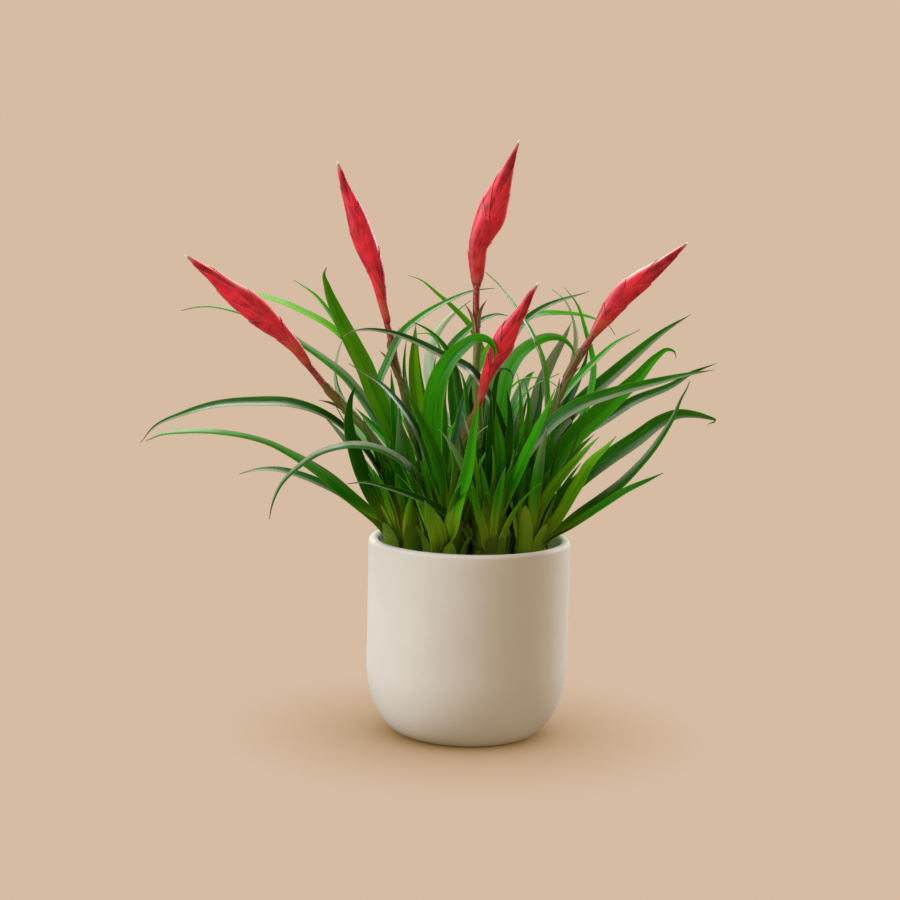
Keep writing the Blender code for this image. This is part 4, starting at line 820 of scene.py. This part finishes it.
# Bracts of each stem, lowest first, in rows of: how far below the head's foot its tip is and how
# long it is (mm), the side it faces (0 is the picture's left, 90 the eye, 180 the right) and how
# far its tip stands off (mm)
STEM_BRACTS = {
    "left": [(62, 30, 20, 1.2), (50, 30, 150, 1.4), (36, 28, 10, 1.4), (24, 26, 170, 2.2),
             (13, 24, 100, 1), (20, 24, 10, 7)],
    "back_left": [(70, 30, 150, 1), (52, 30, 20, 1.2), (36, 28, 160, 1.6), (16, 20, 10, 6.5),
                  (10, 24, 60, 1), (3, 18, 185, 5)],
    "back_right": [(96, 30, 30, 1.2), (74, 30, 160, 1.4), (52, 28, 20, 1.6), (36, 26, 150, 1.2),
                   (11, 20, 0, 5.5), (8, 20, 180, 5)],
    "front": [(38, 26, 190, 1), (24, 26, 20, 0.8), (12, 24, 185, 2.6), (4, 20, 70, 0.6)],
    "right": [(64, 30, 20, 1.2), (48, 30, 165, 1.4), (34, 28, 5, 1.6), (21, 26, 190, 1.4),
              (9, 24, 60, 0.8), (1, 20, 170, 0.8)],
}
STEM_BRACT_ROWS = 14
STEM_BRACT_THICKNESS = 0.6
STEM_BRACT_TOP = 0.985           # share of the stem that no bract's tip goes past
STEM_BRACT_SINK = 0.25           # mm less radius than the stem's
STEM_BRACT_LIFT = 0.55           # mm more radius, all along it
STEM_BRACT_CURL = 2.5            # above 1, it stands off mostly near its tip
STEM_BRACT_SPREAD = 125          # degrees to each side
STEM_BRACT_NARROW = 9            # degrees less for each mm its tip stands off


def spike_path(spike):
    """The spike's centre line from its socket to its tip, as rows (seen x, seen z, depth)."""
    crown_x, crown_y = CROWNS[spike.crown]
    straight = (SOCKET_FOOT + SOIL_GAP, CROWN_TOP + STEM_RISE)
    line = [seen_place((crown_x, crown_y, height)) for height in straight]
    line += spike.stem + [(x, z) for x, z, _ in spike.head]
    run = distances(line)
    bent = [max(0.0, (at - run[1]) / (run[-1] - run[1]))**SPIKE_BEND for at in run]
    return [(x, z, crown_y + spike.deep * share) for (x, z), share in zip(line, bent)]


def frame_at(places):
    """For each place: the directions square to the line, to the picture's left and to the eye."""
    frames = []
    for place, heading in zip(places, headings(places)):
        front = square_to(Vector(EYE) - place, heading)
        frames.append((front.cross(heading), front))
    return frames


def tube_grid(places, radii, sides, flatness=1.0):
    """Rings of points round a line. flatness is their depth over their width."""
    angles = np.linspace(0, 2 * math.pi, sides, endpoint=False)
    return np.array([
        np.array(place) + np.outer(np.cos(angles) * radius, left)
        + np.outer(np.sin(angles) * radius * flatness, front)
        for place, radius, (left, front) in zip(places, radii, frame_at(places))])


def stem_skins(spike):
    """The stem from its socket into its head, and its bracts."""
    rows = spike_path(spike)
    rows = rows[:len(rows) - len(spike.head) + 1]
    run = distances(rows)
    length = run[-1]
    shares = np.concatenate([[0.0], np.linspace(run[1] / length, 1, int(length / STEM_RING))])
    path = places_along(rows, shares)
    path[-1] = path[-1] + headings(path)[-1] * STEM_TUCK
    radii = STEM_RADIUS + (STEM_TOP_RADIUS - STEM_RADIUS) * shares
    skins = [ring_skin(tube_grid(path, radii, STEM_SIDES), stem_at=shares[:, None])]
    radius = STEM_RADIUS - STEM_BRACT_SINK
    for below, reach, facing, lift in STEM_BRACTS[spike.crown]:
        reach /= length
        start = min(1 - below / length, STEM_BRACT_TOP) - reach
        steps = np.linspace(0, 1, STEM_BRACT_ROWS)
        places = places_along(rows, start + reach * steps)
        lifts = STEM_BRACT_LIFT + lift * steps**STEM_BRACT_CURL
        sections = [(place, left * radius, front * radius, *there)
                    for place, (left, front), *there in zip(places, frame_at(places), lifts, steps)]
        skins.append(wrap_skin(sections, facing, STEM_BRACT_SPREAD - STEM_BRACT_NARROW * lift,
                               STEM_BRACT_THICKNESS, stem_at=start + reach / 2, bract=1.0))
    return skins


# Flower heads
HEAD_SIDES = 32
HEAD_RINGS = 60
HEAD_CORE = 0.9                  # the core's width over the head's
HEAD_BRACT_THICKNESS = 0.7
BRACT_ROWS = 64
BRACT_STEP = 0.11                # mm each bract lies outside the one above it
BRACT_SINK = 0.45                # mm the top one lies inside the head's outline
BRACT_TUCK = 0.7                 # mm its base is tucked in
BRACT_TUCK_END = 0.2             # share of its length by which it is out
BRACT_LIFT = 0.45                # mm its tip stands off
BRACT_CURL = 3                   # above 1, it stands off mostly near its tip
BRACT_FULL_HALF = 3              # mm of half width below which bracts lie closer together
BRACT_TONES = (0.4, 0.37)        # the lowest bract's tone, and the step to the next

# Bracts of each head, lowest first, in rows of: the side its keel faces (as for the stems), where
# along the head it starts and ends, and how many degrees it wraps to each side
HEAD_BRACTS = {
    "left": [(10, 0.0, 0.26, 120), (190, 0.0, 0.34, 120), (20, 0.08, 0.46, 115), (170, 0.14, 0.58, 115),
             (340, 0.22, 0.72, 115), (200, 0.3, 0.84, 120), (10, 0.36, 0.93, 130), (180, 0.45, 1.0, 150)],
    "back_left": [(180, 0.0, 0.24, 120), (0, 0.0, 0.36, 120), (200, 0.08, 0.46, 110),
                  (350, 0.18, 0.6, 115), (170, 0.26, 0.74, 120), (10, 0.36, 0.86, 125),
                  (190, 0.45, 0.95, 130), (0, 0.5, 1.0, 150)],
    "back_right": [(0, 0.0, 0.24, 110), (190, 0.0, 0.33, 120), (80, 0.1, 0.46, 62), (5, 0.2, 0.58, 95),
                   (175, 0.12, 0.66, 115), (330, 0.3, 0.76, 120), (200, 0.4, 0.9, 120),
                   (10, 0.5, 1.0, 150)],
    "front": [(180, 0.0, 0.3, 120), (10, 0.02, 0.4, 115), (160, 0.12, 0.52, 110), (350, 0.24, 0.66, 115),
              (190, 0.34, 0.8, 120), (5, 0.44, 0.92, 125), (180, 0.5, 1.0, 150)],
    "right": [(0, 0.0, 0.28, 120), (180, 0.0, 0.36, 120), (20, 0.1, 0.48, 110), (165, 0.2, 0.6, 110),
              (345, 0.3, 0.76, 115), (190, 0.36, 0.88, 125), (0, 0.48, 1.0, 150)],
}


def head_skins(spike):
    """The head's flat core, and the bracts that cover it."""
    rows = spike_path(spike)[-len(spike.head):]
    rows = [(*row, width) for row, (_, _, width) in zip(rows, spike.head)]

    def at(shares):
        """The places there on the head's centre line and the head's half widths."""
        return places_along(rows, shares), np.maximum(THINNEST, along(rows, shares)[:, 3]) / 2

    shares = np.linspace(0, 1, HEAD_RINGS)
    path, halves = at(shares)
    core = tube_grid(path, HEAD_CORE * halves, HEAD_SIDES, HEAD_FLATNESS)
    skins = [ring_skin(core, head_at=shares[:, None])]
    steps = np.linspace(0, 1, BRACT_ROWS)
    bracts = HEAD_BRACTS[spike.crown]
    for k, (facing, start, end, spread) in enumerate(bracts):
        there = start + (end - start) * steps
        places, halves = at(there)
        layer = BRACT_STEP * (len(bracts) - 1 - k) - BRACT_SINK
        sections = []
        for place, half, (left, front), step in zip(places, halves, frame_at(places), steps):
            tuck = BRACT_TUCK * (1 - smooth_step(step / BRACT_TUCK_END))
            lift = (layer - tuck + BRACT_LIFT * step**BRACT_CURL) * min(1, half / BRACT_FULL_HALF)
            sections.append((place, left * half, front * half * HEAD_FLATNESS, lift, step))
        tone = (BRACT_TONES[0] + k * BRACT_TONES[1]) % 1
        skins.append(wrap_skin(sections, facing, spread, HEAD_BRACT_THICKNESS, tone=tone,
                               head_at=there[:, None]))
    return skins


# Pot and soil
ON_AXIS = 0.01                   # mm, the radius of a ring that closes a turned shape
POT_ARC_STEPS = {"inner corner": 24, "lip": 8, "outer corner": 40}
POT_WALL_STEPS = 12


def arc(centre, radii, start, end, count):
    """Points (radius, height) along part of an ellipse, angles in degrees."""
    angles = np.radians(np.linspace(start, end, count + 1))
    return [(centre[0] + radii[0] * math.cos(a), centre[1] + radii[1] * math.sin(a)) for a in angles]


def pot_skin():
    """The pot, turned from the outline of its wall."""
    inside = POT_RADIUS - POT_WALL
    lip_height = POT_HEIGHT - POT_LIP
    lip = (POT_LIP, POT_LIP)
    inner_corner = (POT_INNER_CORNER, POT_CORNER_HEIGHT - POT_FLOOR)
    outer_corner = (POT_RADIUS - POT_FOOT_RADIUS, POT_CORNER_HEIGHT)
    wall = np.linspace(POT_CORNER_HEIGHT, lip_height, POT_WALL_STEPS)[1:-1]
    profile = [(ON_AXIS, POT_FLOOR)]
    profile += arc((inside - POT_INNER_CORNER, POT_CORNER_HEIGHT), inner_corner, -90, 0,
                   POT_ARC_STEPS["inner corner"])
    profile += [(inside, height) for height in wall]
    profile += arc((inside + POT_LIP, lip_height), lip, 180, 90, POT_ARC_STEPS["lip"])
    profile += arc((POT_RADIUS - POT_LIP, lip_height), lip, 90, 0, POT_ARC_STEPS["lip"])
    profile += [(POT_RADIUS, height) for height in wall[::-1]]
    profile += arc((POT_FOOT_RADIUS, POT_CORNER_HEIGHT), outer_corner, 0, -90,
                   POT_ARC_STEPS["outer corner"])
    profile.append((ON_AXIS, 0))
    return ring_skin(turned_grid(profile[::-1], POT_SIDES))


SOIL_DEPTH = 12                  # mm of soil under its surface
SOIL_INNERMOST = 0.002           # share of the radius where the surface starts
SOIL_ROUGHNESS = 0.9             # mm
SOIL_LUMPS = 0.23                # lumps for each mm
SOIL_SMOOTH_EDGE = 8             # the power by which the roughness fades at the pot's wall
SOIL_SINK = 0.2                  # mm
CHIPS = 260
CHIP_SIZE = (2.5, 7)             # mm
CHIP_WIDTH = (0.35, 0.8)         # of its length
CHIP_HEIGHT = (0.15, 0.3)        # of its length
CHIP_RISE = 1.2                  # mm above the soil, at most
CHIP_TILTS = {"X": 0.5, "Y": 0.4}   # radians, at most
CHIP_RINGS = [(-1, 0.6), (-0.4, 1), (0.5, 0.95), (1, 0.55)]   # height and width of each
CHIP_JITTER = (0.75, 1.1)
CHIP_SIDES = 7
CHIP_SEED = 3


def noise_at(point):
    return noise.noise(Vector(point)) + 0.5 * noise.noise(Vector(point) * 2.7)


def chip_skin(place, size, draw):
    """A flat piece of bark, turned and tilted by chance."""
    turn = Matrix.Rotation(draw.uniform(0, 2 * math.pi), 3, "Z")
    for axis, most in CHIP_TILTS.items():
        turn = turn @ Matrix.Rotation(draw.uniform(-most, most), 3, axis)
    half = (size / 2, size / 2 * draw.uniform(*CHIP_WIDTH), size / 2 * draw.uniform(*CHIP_HEIGHT))
    grid = np.zeros((len(CHIP_RINGS), CHIP_SIDES, 3))
    for i, (level, share) in enumerate(CHIP_RINGS):
        for k in range(CHIP_SIDES):
            angle = 2 * math.pi * k / CHIP_SIDES
            reach = share * draw.uniform(*CHIP_JITTER)
            point = Vector((half[0] * reach * math.cos(angle), half[1] * reach * math.sin(angle),
                            half[2] * level))
            grid[i, k] = place + turn @ point
    return ring_skin(grid, tone=draw.random())


def soil_skins():
    """Rough peat with chips of bark on it."""
    radius = POT_RADIUS - POT_WALL - SOIL_GAP

    def height_at(from_middle):
        return SOIL_TOP + SOIL_RISE * (1 - from_middle)

    surface = [(radius * share, height_at(share)) for share in np.linspace(SOIL_INNERMOST, 1, SOIL_RINGS)]
    under = [(radius, SOIL_TOP - SOIL_DEPTH), (ON_AXIS, SOIL_TOP - SOIL_DEPTH)]
    grid = turned_grid((surface + under)[::-1], SOIL_SIDES)
    for point in grid[len(under):].reshape(-1, 3):
        rough = SOIL_ROUGHNESS * (1 - (math.hypot(point[0], point[1]) / radius)**SOIL_SMOOTH_EDGE)
        point[2] += rough * noise_at(point * SOIL_LUMPS) - SOIL_SINK
    skins = [ring_skin(grid)]
    draw = random.Random(CHIP_SEED)
    while len(skins) <= CHIPS:
        x, y = draw.uniform(-radius, radius), draw.uniform(-radius, radius)
        size = draw.uniform(*CHIP_SIZE)
        to_crown = min(math.dist((x, y), crown) for crown in CROWNS.values())
        if math.hypot(x, y) <= radius - size and to_crown >= CROWN_RADIUS + size / 2:
            height = height_at(math.hypot(x, y) / radius) + draw.uniform(0, CHIP_RISE)
            skins.append(chip_skin(Vector((x, y, height)), size, draw))
    return skins


# Materials. Colours are linear, and the scales of noise are for each mm.
LEAF_MARKS = ("along", "across", "tone", "under", "sheath", "reach", "sheen")
HEAD_MARKS = ("along", "across", "tone", "head_at")
STEM_MARKS = ("along", "across", "bract", "stem_at")
SOIL_MARKS = ("tone",)

LEAF_DEEP = (0.006, 0.055, 0.0004)
LEAF_GREEN = (0.036, 0.36, 0.0008)
LEAF_LIME = (0.15, 0.48, 0.0015)
LEAF_SHADED_HALF = (0.006, 0.065, 0.0006)
LEAF_GROOVE = (0.004, 0.05, 0.0004)
LEAF_STRIPE = (0.07, 0.34, 0.001)
LEAF_MARGIN = (0.12, 0.36, 0.004)
LEAF_MIDRIB = (0.012, 0.09, 0.001)
LEAF_PAINTED_SHEEN = (0.25, 0.30, 0.21)
LEAF_DRY = (0.30, 0.30, 0.14)
LEAF_LIT_THROUGH = (0.2, 0.44, 0.001)
BASE_DARK = (0.06, 0.10, 0.006)
BASE_GREEN = (0.11, 0.21, 0.006)
BASE_PALE = (0.36, 0.56, 0.024)
UNDERSIDE_GREY_SHADED = (0.09, 0.12, 0.07)
UNDERSIDE_GREY_SHEEN = (0.42, 0.47, 0.36)
SHEATH_DARK = (0.06, 0.13, 0.007)
SHEATH_GREEN = (0.22, 0.44, 0.018)
SHEATH_BROWN = (0.13, 0.12, 0.03)
SHEATH_STREAK = (0.05, 0.07, 0.006)

BRACT_DEEP = (0.27, 0.002, 0.004)
BRACT_RED = (0.74, 0.01, 0.03)
BRACT_STREAK = (0.82, 0.06, 0.09)
BRACT_TUCKED_SHADE = (0.20, 0.004, 0.005)
BRACT_MARGIN = (0.74, 0.16, 0.17)
BRACT_PAINTED_TOP_LIGHT = (0.94, 0.55, 0.55)
BRACT_POINT = (0.62, 0.22, 0.18)
HEAD_FOOT = (0.24, 0.13, 0.04)
HEAD_DRY = (0.42, 0.26, 0.13)
HEAD_POINT = (0.80, 0.72, 0.62)

STEM_DARK_RED = (0.24, 0.018, 0.016)
STEM_RED = (0.33, 0.07, 0.045)
STEM_OLIVE = (0.12, 0.11, 0.035)
STEM_GREEN = (0.20, 0.27, 0.08)
STEM_BRACT_GREEN = (0.10, 0.18, 0.015)
STEM_BRACT_RED = (0.20, 0.06, 0.02)
STEM_BRACT_MARGIN = (0.30, 0.36, 0.16)
STEM_BRACT_POINT = (0.12, 0.10, 0.03)

POT_CREAM = (0.575, 0.578, 0.515)
POT_PALE = (0.595, 0.598, 0.54)
POT_GRAIN = (0.50, 0.48, 0.42)
POT_SPECK = (0.42, 0.38, 0.31)

SOIL_BLACK = (0.010, 0.006, 0.004)
SOIL_BROWN = (0.045, 0.028, 0.017)
BARK = (0.10, 0.055, 0.03)


class Paint:
    """One material's nodes, fed by sockets or plain values. colour is what it has so far."""

    def __init__(self, name):
        self.material = bpy.data.materials.new(name)
        self.material.use_nodes = True
        self.tree = self.material.node_tree
        self.tree.nodes.clear()
        self.colour = None

    def node(self, kind, inputs=None, output=0, **settings):
        node = self.tree.nodes.new("ShaderNode" + kind)
        for name, value in settings.items():
            setattr(node, name, value)
        for name, value in (inputs or {}).items():
            socket = node.inputs[name]
            if isinstance(value, bpy.types.NodeSocket):
                self.tree.links.new(value, socket)
            elif isinstance(value, tuple) and socket.type == "RGBA":
                socket.default_value = (*value, 1)
            else:
                socket.default_value = value
        return node.outputs[output]

    def marks(self, names):
        return [self.node("Attribute", output="Fac", attribute_name=name) for name in names]

    def maths(self, operation, a, b=0.0):
        return self.node("Math", {0: a, 1: b}, operation=operation)

    def times(self, a, b):
        return self.maths("MULTIPLY", a, b)

    def plus(self, a, b):
        return self.maths("ADD", a, b)

    def size(self, value):
        return self.maths("ABSOLUTE", value)

    def ramp(self, value, start, end, low=0.0, high=1.0):
        """A smooth step from low at start to high at end."""
        return self.node("MapRange", {"Value": value, "From Min": start, "From Max": end,
                                      "To Min": low, "To Max": high}, interpolation_type="SMOOTHSTEP")

    def blend(self, factor, a, b):
        """Colour a where factor is 0 and b where it is 1."""
        return self.node("Mix", {0: factor, 6: a, 7: b}, output=2, data_type="RGBA")

    def lay(self, factor, colour):
        """Lays a colour over what there is so far, as strongly as factor says."""
        self.colour = self.blend(factor, self.colour, colour)

    def place(self):
        """Where the point is, in mm."""
        here = self.node("TexCoord", output="Object")
        return self.node("VectorMath", {0: here, "Scale": 1 / MM}, operation="SCALE")

    def noise(self, vector, scale, detail=3, rough=0.5):
        return self.node("TexNoise", {"Vector": vector, "Scale": scale, "Detail": detail,
                                      "Roughness": rough})

    def streaks(self, across, at, tone):
        """Noise drawn out along a blade, and its own on each."""
        vector = self.node("CombineXYZ", {"X": across, "Y": at, "Z": tone})
        return self.noise(vector, 1, 4, 0.6)

    def bump(self, height, distance, strength=0.5):
        return self.node("Bump", {"Height": height, "Distance": distance * MM, "Strength": strength})

    def surface(self, bump, roughness, specular, more=None):
        """The shader with the colour so far."""
        inputs = {"Base Color": self.colour, "Normal": bump, "Roughness": roughness,
                  "Specular IOR Level": specular}
        return self.node("BsdfPrincipled", inputs | (more or {}))

    def finish(self, shader):
        out = self.tree.nodes.new("ShaderNodeOutputMaterial")
        self.tree.links.new(shader, out.inputs["Surface"])
        return self.material


def leaf_paint():
    paint = Paint("leaf_green")
    share, across, tone, under, sheath, reach, sheen = paint.marks(LEAF_MARKS)
    blotch = paint.noise(paint.place(), 0.035)
    fine = paint.streaks(paint.times(across, 7), paint.times(reach, 0.03), paint.times(tone, 40))

    # The blade, lighter or darker by its tone, which is partly painted light and shade, and with painted
    # shade on one half beside its fold
    bright = paint.plus(paint.times(tone, 0.8), paint.times(blotch, 0.4))
    paint.colour = paint.blend(paint.ramp(bright, 0.2, 0.75), LEAF_DEEP, LEAF_GREEN)
    paint.lay(paint.ramp(bright, 0.85, 1.2), LEAF_LIME)
    # painted shade: one half of the blade beside its fold is darker, as if that side lay in shade
    shaded_side = paint.maths("GREATER_THAN", paint.maths("FRACT", paint.times(tone, 13.7)), 0.5)
    half = paint.size(paint.maths("SUBTRACT", paint.ramp(across, -0.08, 0.08), shaded_side))
    paint.lay(paint.times(half, 0.36), LEAF_SHADED_HALF)
    paint.lay(paint.ramp(fine, 0.3, 0.48, 0.55, 0), LEAF_GROOVE)
    paint.lay(paint.ramp(fine, 0.5, 0.75, 0, 0.5), LEAF_STRIPE)
    paint.lay(paint.ramp(paint.size(across), 0.8, 1, 0, 0.6), LEAF_MARGIN)
    paint.lay(paint.ramp(paint.size(across), 0, 0.2, 0.3, 0), LEAF_MIDRIB)

    # Its pale base, the grey underside with painted shade and sheen, and a painted sheen on one half
    pale = paint.times(paint.ramp(reach, 14, 62, 1, 0), paint.ramp(blotch, 0.2, 0.7, 0.6, 1))
    base = paint.blend(paint.ramp(fine, 0.3, 0.7), BASE_GREEN, BASE_PALE)
    paint.lay(pale, paint.blend(paint.ramp(tone, 0, 0.8, 0.35, 0), base, BASE_DARK))
    # the underside's own grey-green, darker by painted shade on dark tones and paler by painted sheen on
    # pale ones
    grey = paint.times(under, paint.ramp(reach, 60, 125, 0, 0.75))
    paint.lay(grey, paint.blend(paint.ramp(tone, 0, 1), UNDERSIDE_GREY_SHADED, UNDERSIDE_GREY_SHEEN))
    # painted sheen: a pale reflection laid on one half of the blade, towards its tip
    painted_sheen = paint.ramp(paint.times(across, sheen), 0, 0.5)
    painted_sheen = paint.times(painted_sheen, paint.ramp(fine, 0.3, 0.6, 0.4, 0.85))
    paint.lay(paint.times(painted_sheen, paint.ramp(reach, 50, 95)), LEAF_PAINTED_SHEEN)

    # Old sheaths and dry tips
    old = paint.blend(paint.ramp(tone, 0.1, 0.9), SHEATH_DARK, SHEATH_GREEN)
    old = paint.blend(paint.ramp(share, 0, 0.35, 0.8, 0), old, SHEATH_BROWN)
    paint.lay(sheath, paint.blend(paint.ramp(fine, 0.45, 0.7, 0, 0.5), old, SHEATH_STREAK))
    dry = paint.ramp(share, 0.975, 1, 0, 0.7)
    paint.lay(paint.times(dry, paint.maths("SUBTRACT", 1, sheath)), LEAF_DRY)

    bump = paint.bump(fine, 0.07)
    through = paint.node("BsdfTranslucent", {"Color": paint.blend(0.5, paint.colour, LEAF_LIT_THROUGH),
                                             "Normal": bump})
    return paint.finish(paint.node("MixShader", {0: paint.ramp(reach, 8, 60, 0.05, 0.2),
                                                 1: paint.surface(bump, 0.36, 0.13), 2: through}))


def head_paint():
    paint = Paint("bract_red")
    share, across, tone, at = paint.marks(HEAD_MARKS)
    here = paint.place()
    cloud = paint.noise(here, 0.12, 4)
    streak = paint.streaks(paint.times(across, 9), paint.times(at, 5), paint.times(tone, 30))
    depth = paint.plus(paint.times(cloud, 0.8), paint.times(tone, 0.25))
    paint.colour = paint.blend(paint.ramp(depth, 0.25, 0.75), BRACT_DEEP, BRACT_RED)
    paint.lay(paint.ramp(streak, 0.4, 0.75, 0, 0.45), BRACT_STREAK)
    # painted shade: each bract darker at its base, where the bract above overlaps it
    paint.lay(paint.ramp(share, 0, 0.35, 0.4, 0), BRACT_TUCKED_SHADE)
    paint.lay(paint.ramp(paint.size(across), 0.86, 1, 0, 0.12), BRACT_MARGIN)
    # painted highlight: bracts paler where they face upwards, as if lit from above
    facing = paint.node("NewGeometry", output="Normal")
    upward = paint.node("SeparateXYZ", {"Vector": facing}, output="Z")
    paint.lay(paint.ramp(upward, 0.4, 0.9, 0, 0.65), BRACT_PAINTED_TOP_LIGHT)
    paint.lay(paint.ramp(share, 0.93, 1, 0, 0.4), BRACT_POINT)
    foot = paint.times(paint.ramp(at, 0.05, 0.32, 0.55, 0), paint.ramp(cloud, 0.4, 0.6))
    paint.lay(foot, HEAD_FOOT)
    paint.lay(paint.ramp(paint.plus(at, paint.times(streak, 0.12)), 0.98, 1.06), HEAD_DRY)
    paint.lay(paint.ramp(at, 0.972, 0.99), HEAD_POINT)
    grain = paint.times(paint.noise(here, 1.6), 0.3)
    bump = paint.bump(paint.plus(streak, grain), 0.12)
    return paint.finish(paint.surface(bump, 0.4, 0.36, {"Sheen Weight": 0.5, "Sheen Roughness": 0.35}))


def stem_paint():
    paint = Paint("stem_red_brown")
    share, across, bract, at = paint.marks(STEM_MARKS)
    mottle = paint.noise(paint.place(), 0.35, 4, 0.65)
    patches = paint.ramp(mottle, 0.35, 0.65)
    level = paint.plus(at, paint.times(mottle, 0.2))
    paint.colour = paint.blend(paint.ramp(level, 0.82, 1.02), paint.blend(patches, STEM_OLIVE, STEM_GREEN),
                               paint.blend(patches, STEM_DARK_RED, STEM_RED))
    leafy = paint.blend(paint.ramp(level, 0.8, 1.08), STEM_BRACT_GREEN, STEM_BRACT_RED)
    leafy = paint.blend(paint.ramp(paint.size(across), 0.6, 1, 0, 0.5), leafy, STEM_BRACT_MARGIN)
    paint.lay(bract, paint.blend(paint.ramp(share, 0.7, 1, 0, 0.6), leafy, STEM_BRACT_POINT))
    return paint.finish(paint.surface(paint.bump(mottle, 0.2), 0.45, 0.4))


def pot_paint():
    paint = Paint("pot_ceramic")
    here = paint.place()
    grain = paint.noise(here, 1.1, 3, 0.6)
    paint.colour = paint.blend(paint.ramp(paint.noise(here, 0.03), 0.3, 0.7), POT_CREAM, POT_PALE)
    paint.lay(paint.ramp(grain, 0.35, 0.7, 0, 0.12), POT_GRAIN)
    paint.lay(paint.ramp(paint.noise(here, 0.55, 2), 0.68, 0.78, 0, 0.25), POT_SPECK)
    return paint.finish(paint.surface(paint.bump(grain, 0.12, 0.6), 0.7, 0.25))


def soil_paint():
    paint = Paint("soil_bark")
    tone, = paint.marks(SOIL_MARKS)
    rough = paint.noise(paint.place(), 0.8, 5, 0.7)
    paint.colour = paint.blend(paint.ramp(rough, 0.3, 0.7), SOIL_BLACK, SOIL_BROWN)
    paint.lay(paint.times(tone, 0.6), BARK)
    return paint.finish(paint.surface(paint.bump(rough, 0.8, 0.8), 0.92, 0.2))


# Backdrop (linear colour), floor and lights
BACKDROP = (0.672, 0.503, 0.361)
MIRRORED = 0.03                  # how bright glossy surfaces see the backdrop
FLOOR_SIZE = 24                  # m
SHADOW_REACH = 0.115             # m
SHADOW_DEPTH = 0.62              # power of the open share of the sky above a point of the floor
SHADOW_COLOUR = (0.672, 0.34, 0.055)
SHADOW_SAMPLES = 16

# Each light: heading from the camera's side (below zero to its left) and elevation in degrees,
# distance and size in m, power in W, colour
Light = namedtuple("Light", "heading elevation distance size power colour")
LIGHTS = {
    "key": Light(-68, 28, 1.6, 0.9, 26, (0.8, 0.86, 1.0)),
    "rim": Light(131, 22, 1.6, 0.6, 26, (0.85, 0.93, 1.0)),
    "back": Light(-158, 60, 1.5, 0.9, 28, (1.0, 1.0, 0.97)),
}


def build_backdrop():
    """The world gives off the backdrop's light, which glossy surfaces see much dimmer."""
    world = bpy.data.worlds.new("backdrop")
    world.use_nodes = True
    nodes, links = world.node_tree.nodes, world.node_tree.links
    shade = nodes["Background"]
    shade.inputs["Color"].default_value = (*BACKDROP, 1)
    path = nodes.new("ShaderNodeLightPath")
    dim = nodes.new("ShaderNodeMapRange")
    dim.inputs["To Min"].default_value = 1
    dim.inputs["To Max"].default_value = MIRRORED
    links.new(path.outputs["Is Glossy Ray"], dim.inputs["Value"])
    links.new(dim.outputs["Result"], shade.inputs["Strength"])
    bpy.context.scene.world = world


def build_floor():
    """A floor that merges with the backdrop, as both give off the same light."""
    mesh = bpy.data.meshes.new("floor")
    half = FLOOR_SIZE / 2
    mesh.from_pydata([(-half, -half, 0), (half, -half, 0), (half, half, 0), (-half, half, 0)], [],
                     [(0, 1, 2, 3)])
    floor = bpy.data.objects.new("floor", mesh)
    bpy.context.scene.collection.objects.link(floor)
    paint = Paint("floor_paper")
    open_share = paint.node("AmbientOcclusion", {"Distance": SHADOW_REACH}, output="AO",
                            samples=SHADOW_SAMPLES)
    light = paint.maths("POWER", open_share, SHADOW_DEPTH)
    glossy = paint.node("LightPath", output="Is Glossy Ray")
    strength = paint.times(light, paint.ramp(glossy, 0, 1, 1, MIRRORED))
    glow = paint.node("Emission", {"Color": paint.blend(light, SHADOW_COLOUR, BACKDROP),
                                   "Strength": strength})
    mesh.materials.append(paint.finish(glow))


def build_lights():
    """Soft lights that fall on the plant and its pot alone, as in the photograph."""
    for name, light in LIGHTS.items():
        data = bpy.data.lights.new(name, "AREA")
        data.shape = "DISK"
        data.size = light.size
        data.energy = light.power
        data.color = light.colour
        lamp = bpy.data.objects.new(name, data)
        heading, rise = math.radians(light.heading), math.radians(light.elevation)
        away = Vector((math.sin(heading) * math.cos(rise), -math.cos(heading) * math.cos(rise),
                       math.sin(rise)))
        lamp.location = AIM * MM + away * light.distance
        lamp.rotation_euler = away.to_track_quat("Z", "Y").to_euler()
        bpy.context.scene.collection.objects.link(lamp)
        lamp.light_linking.receiver_collection = plant


def build_camera():
    data = bpy.data.cameras.new("camera")
    data.lens = LENS
    data.sensor_width = SENSOR
    camera = bpy.data.objects.new("camera", data)
    bpy.context.scene.collection.objects.link(camera)
    rise, roll = math.radians(ELEVATION), math.radians(ROLL)
    back = Vector((0, -math.cos(rise), math.sin(rise)))
    up = Vector((0, math.sin(rise), math.cos(rise)))
    right = Vector((1, 0, 0))
    turned_right = right * math.cos(roll) + up * math.sin(roll)
    turned_up = up * math.cos(roll) - right * math.sin(roll)
    turn = Matrix((turned_right, turned_up, back)).transposed()
    camera.matrix_world = Matrix.Translation((AIM + back * DISTANCE) * MM) @ turn.to_4x4()
    bpy.context.scene.camera = camera


def build_plant():
    draw = random.Random(LOOKS_SEED)
    leaf, head, stem = leaf_paint(), head_paint(), stem_paint()
    build_piece("plant_pot", [pot_skin()], (), pot_paint(), "pot", POT_SHARP_ANGLE)
    build_piece("potting_soil", soil_skins(), SOIL_MARKS, soil_paint(), "soil")
    for crown, blades in place_leaves().items():
        skins = [fine_leaf(blade, draw) for blade in blades] + crown_skins(crown, draw)
        build_piece("leaves_" + crown, skins, LEAF_MARKS, leaf, "rosette_" + crown)
    for spike in SPIKES:
        name = spike.crown
        build_piece("flower_stem_" + name, stem_skins(spike), STEM_MARKS, stem, "stem_" + name)
        build_piece("flower_head_" + name, head_skins(spike), HEAD_MARKS, head, "head_" + name)


plant = bpy.data.collections.new("plant")
bpy.context.scene.collection.children.link(plant)
bpy.context.scene.view_settings.view_transform = "Standard"
build_camera()
build_plant()
build_backdrop()
build_floor()
build_lights()
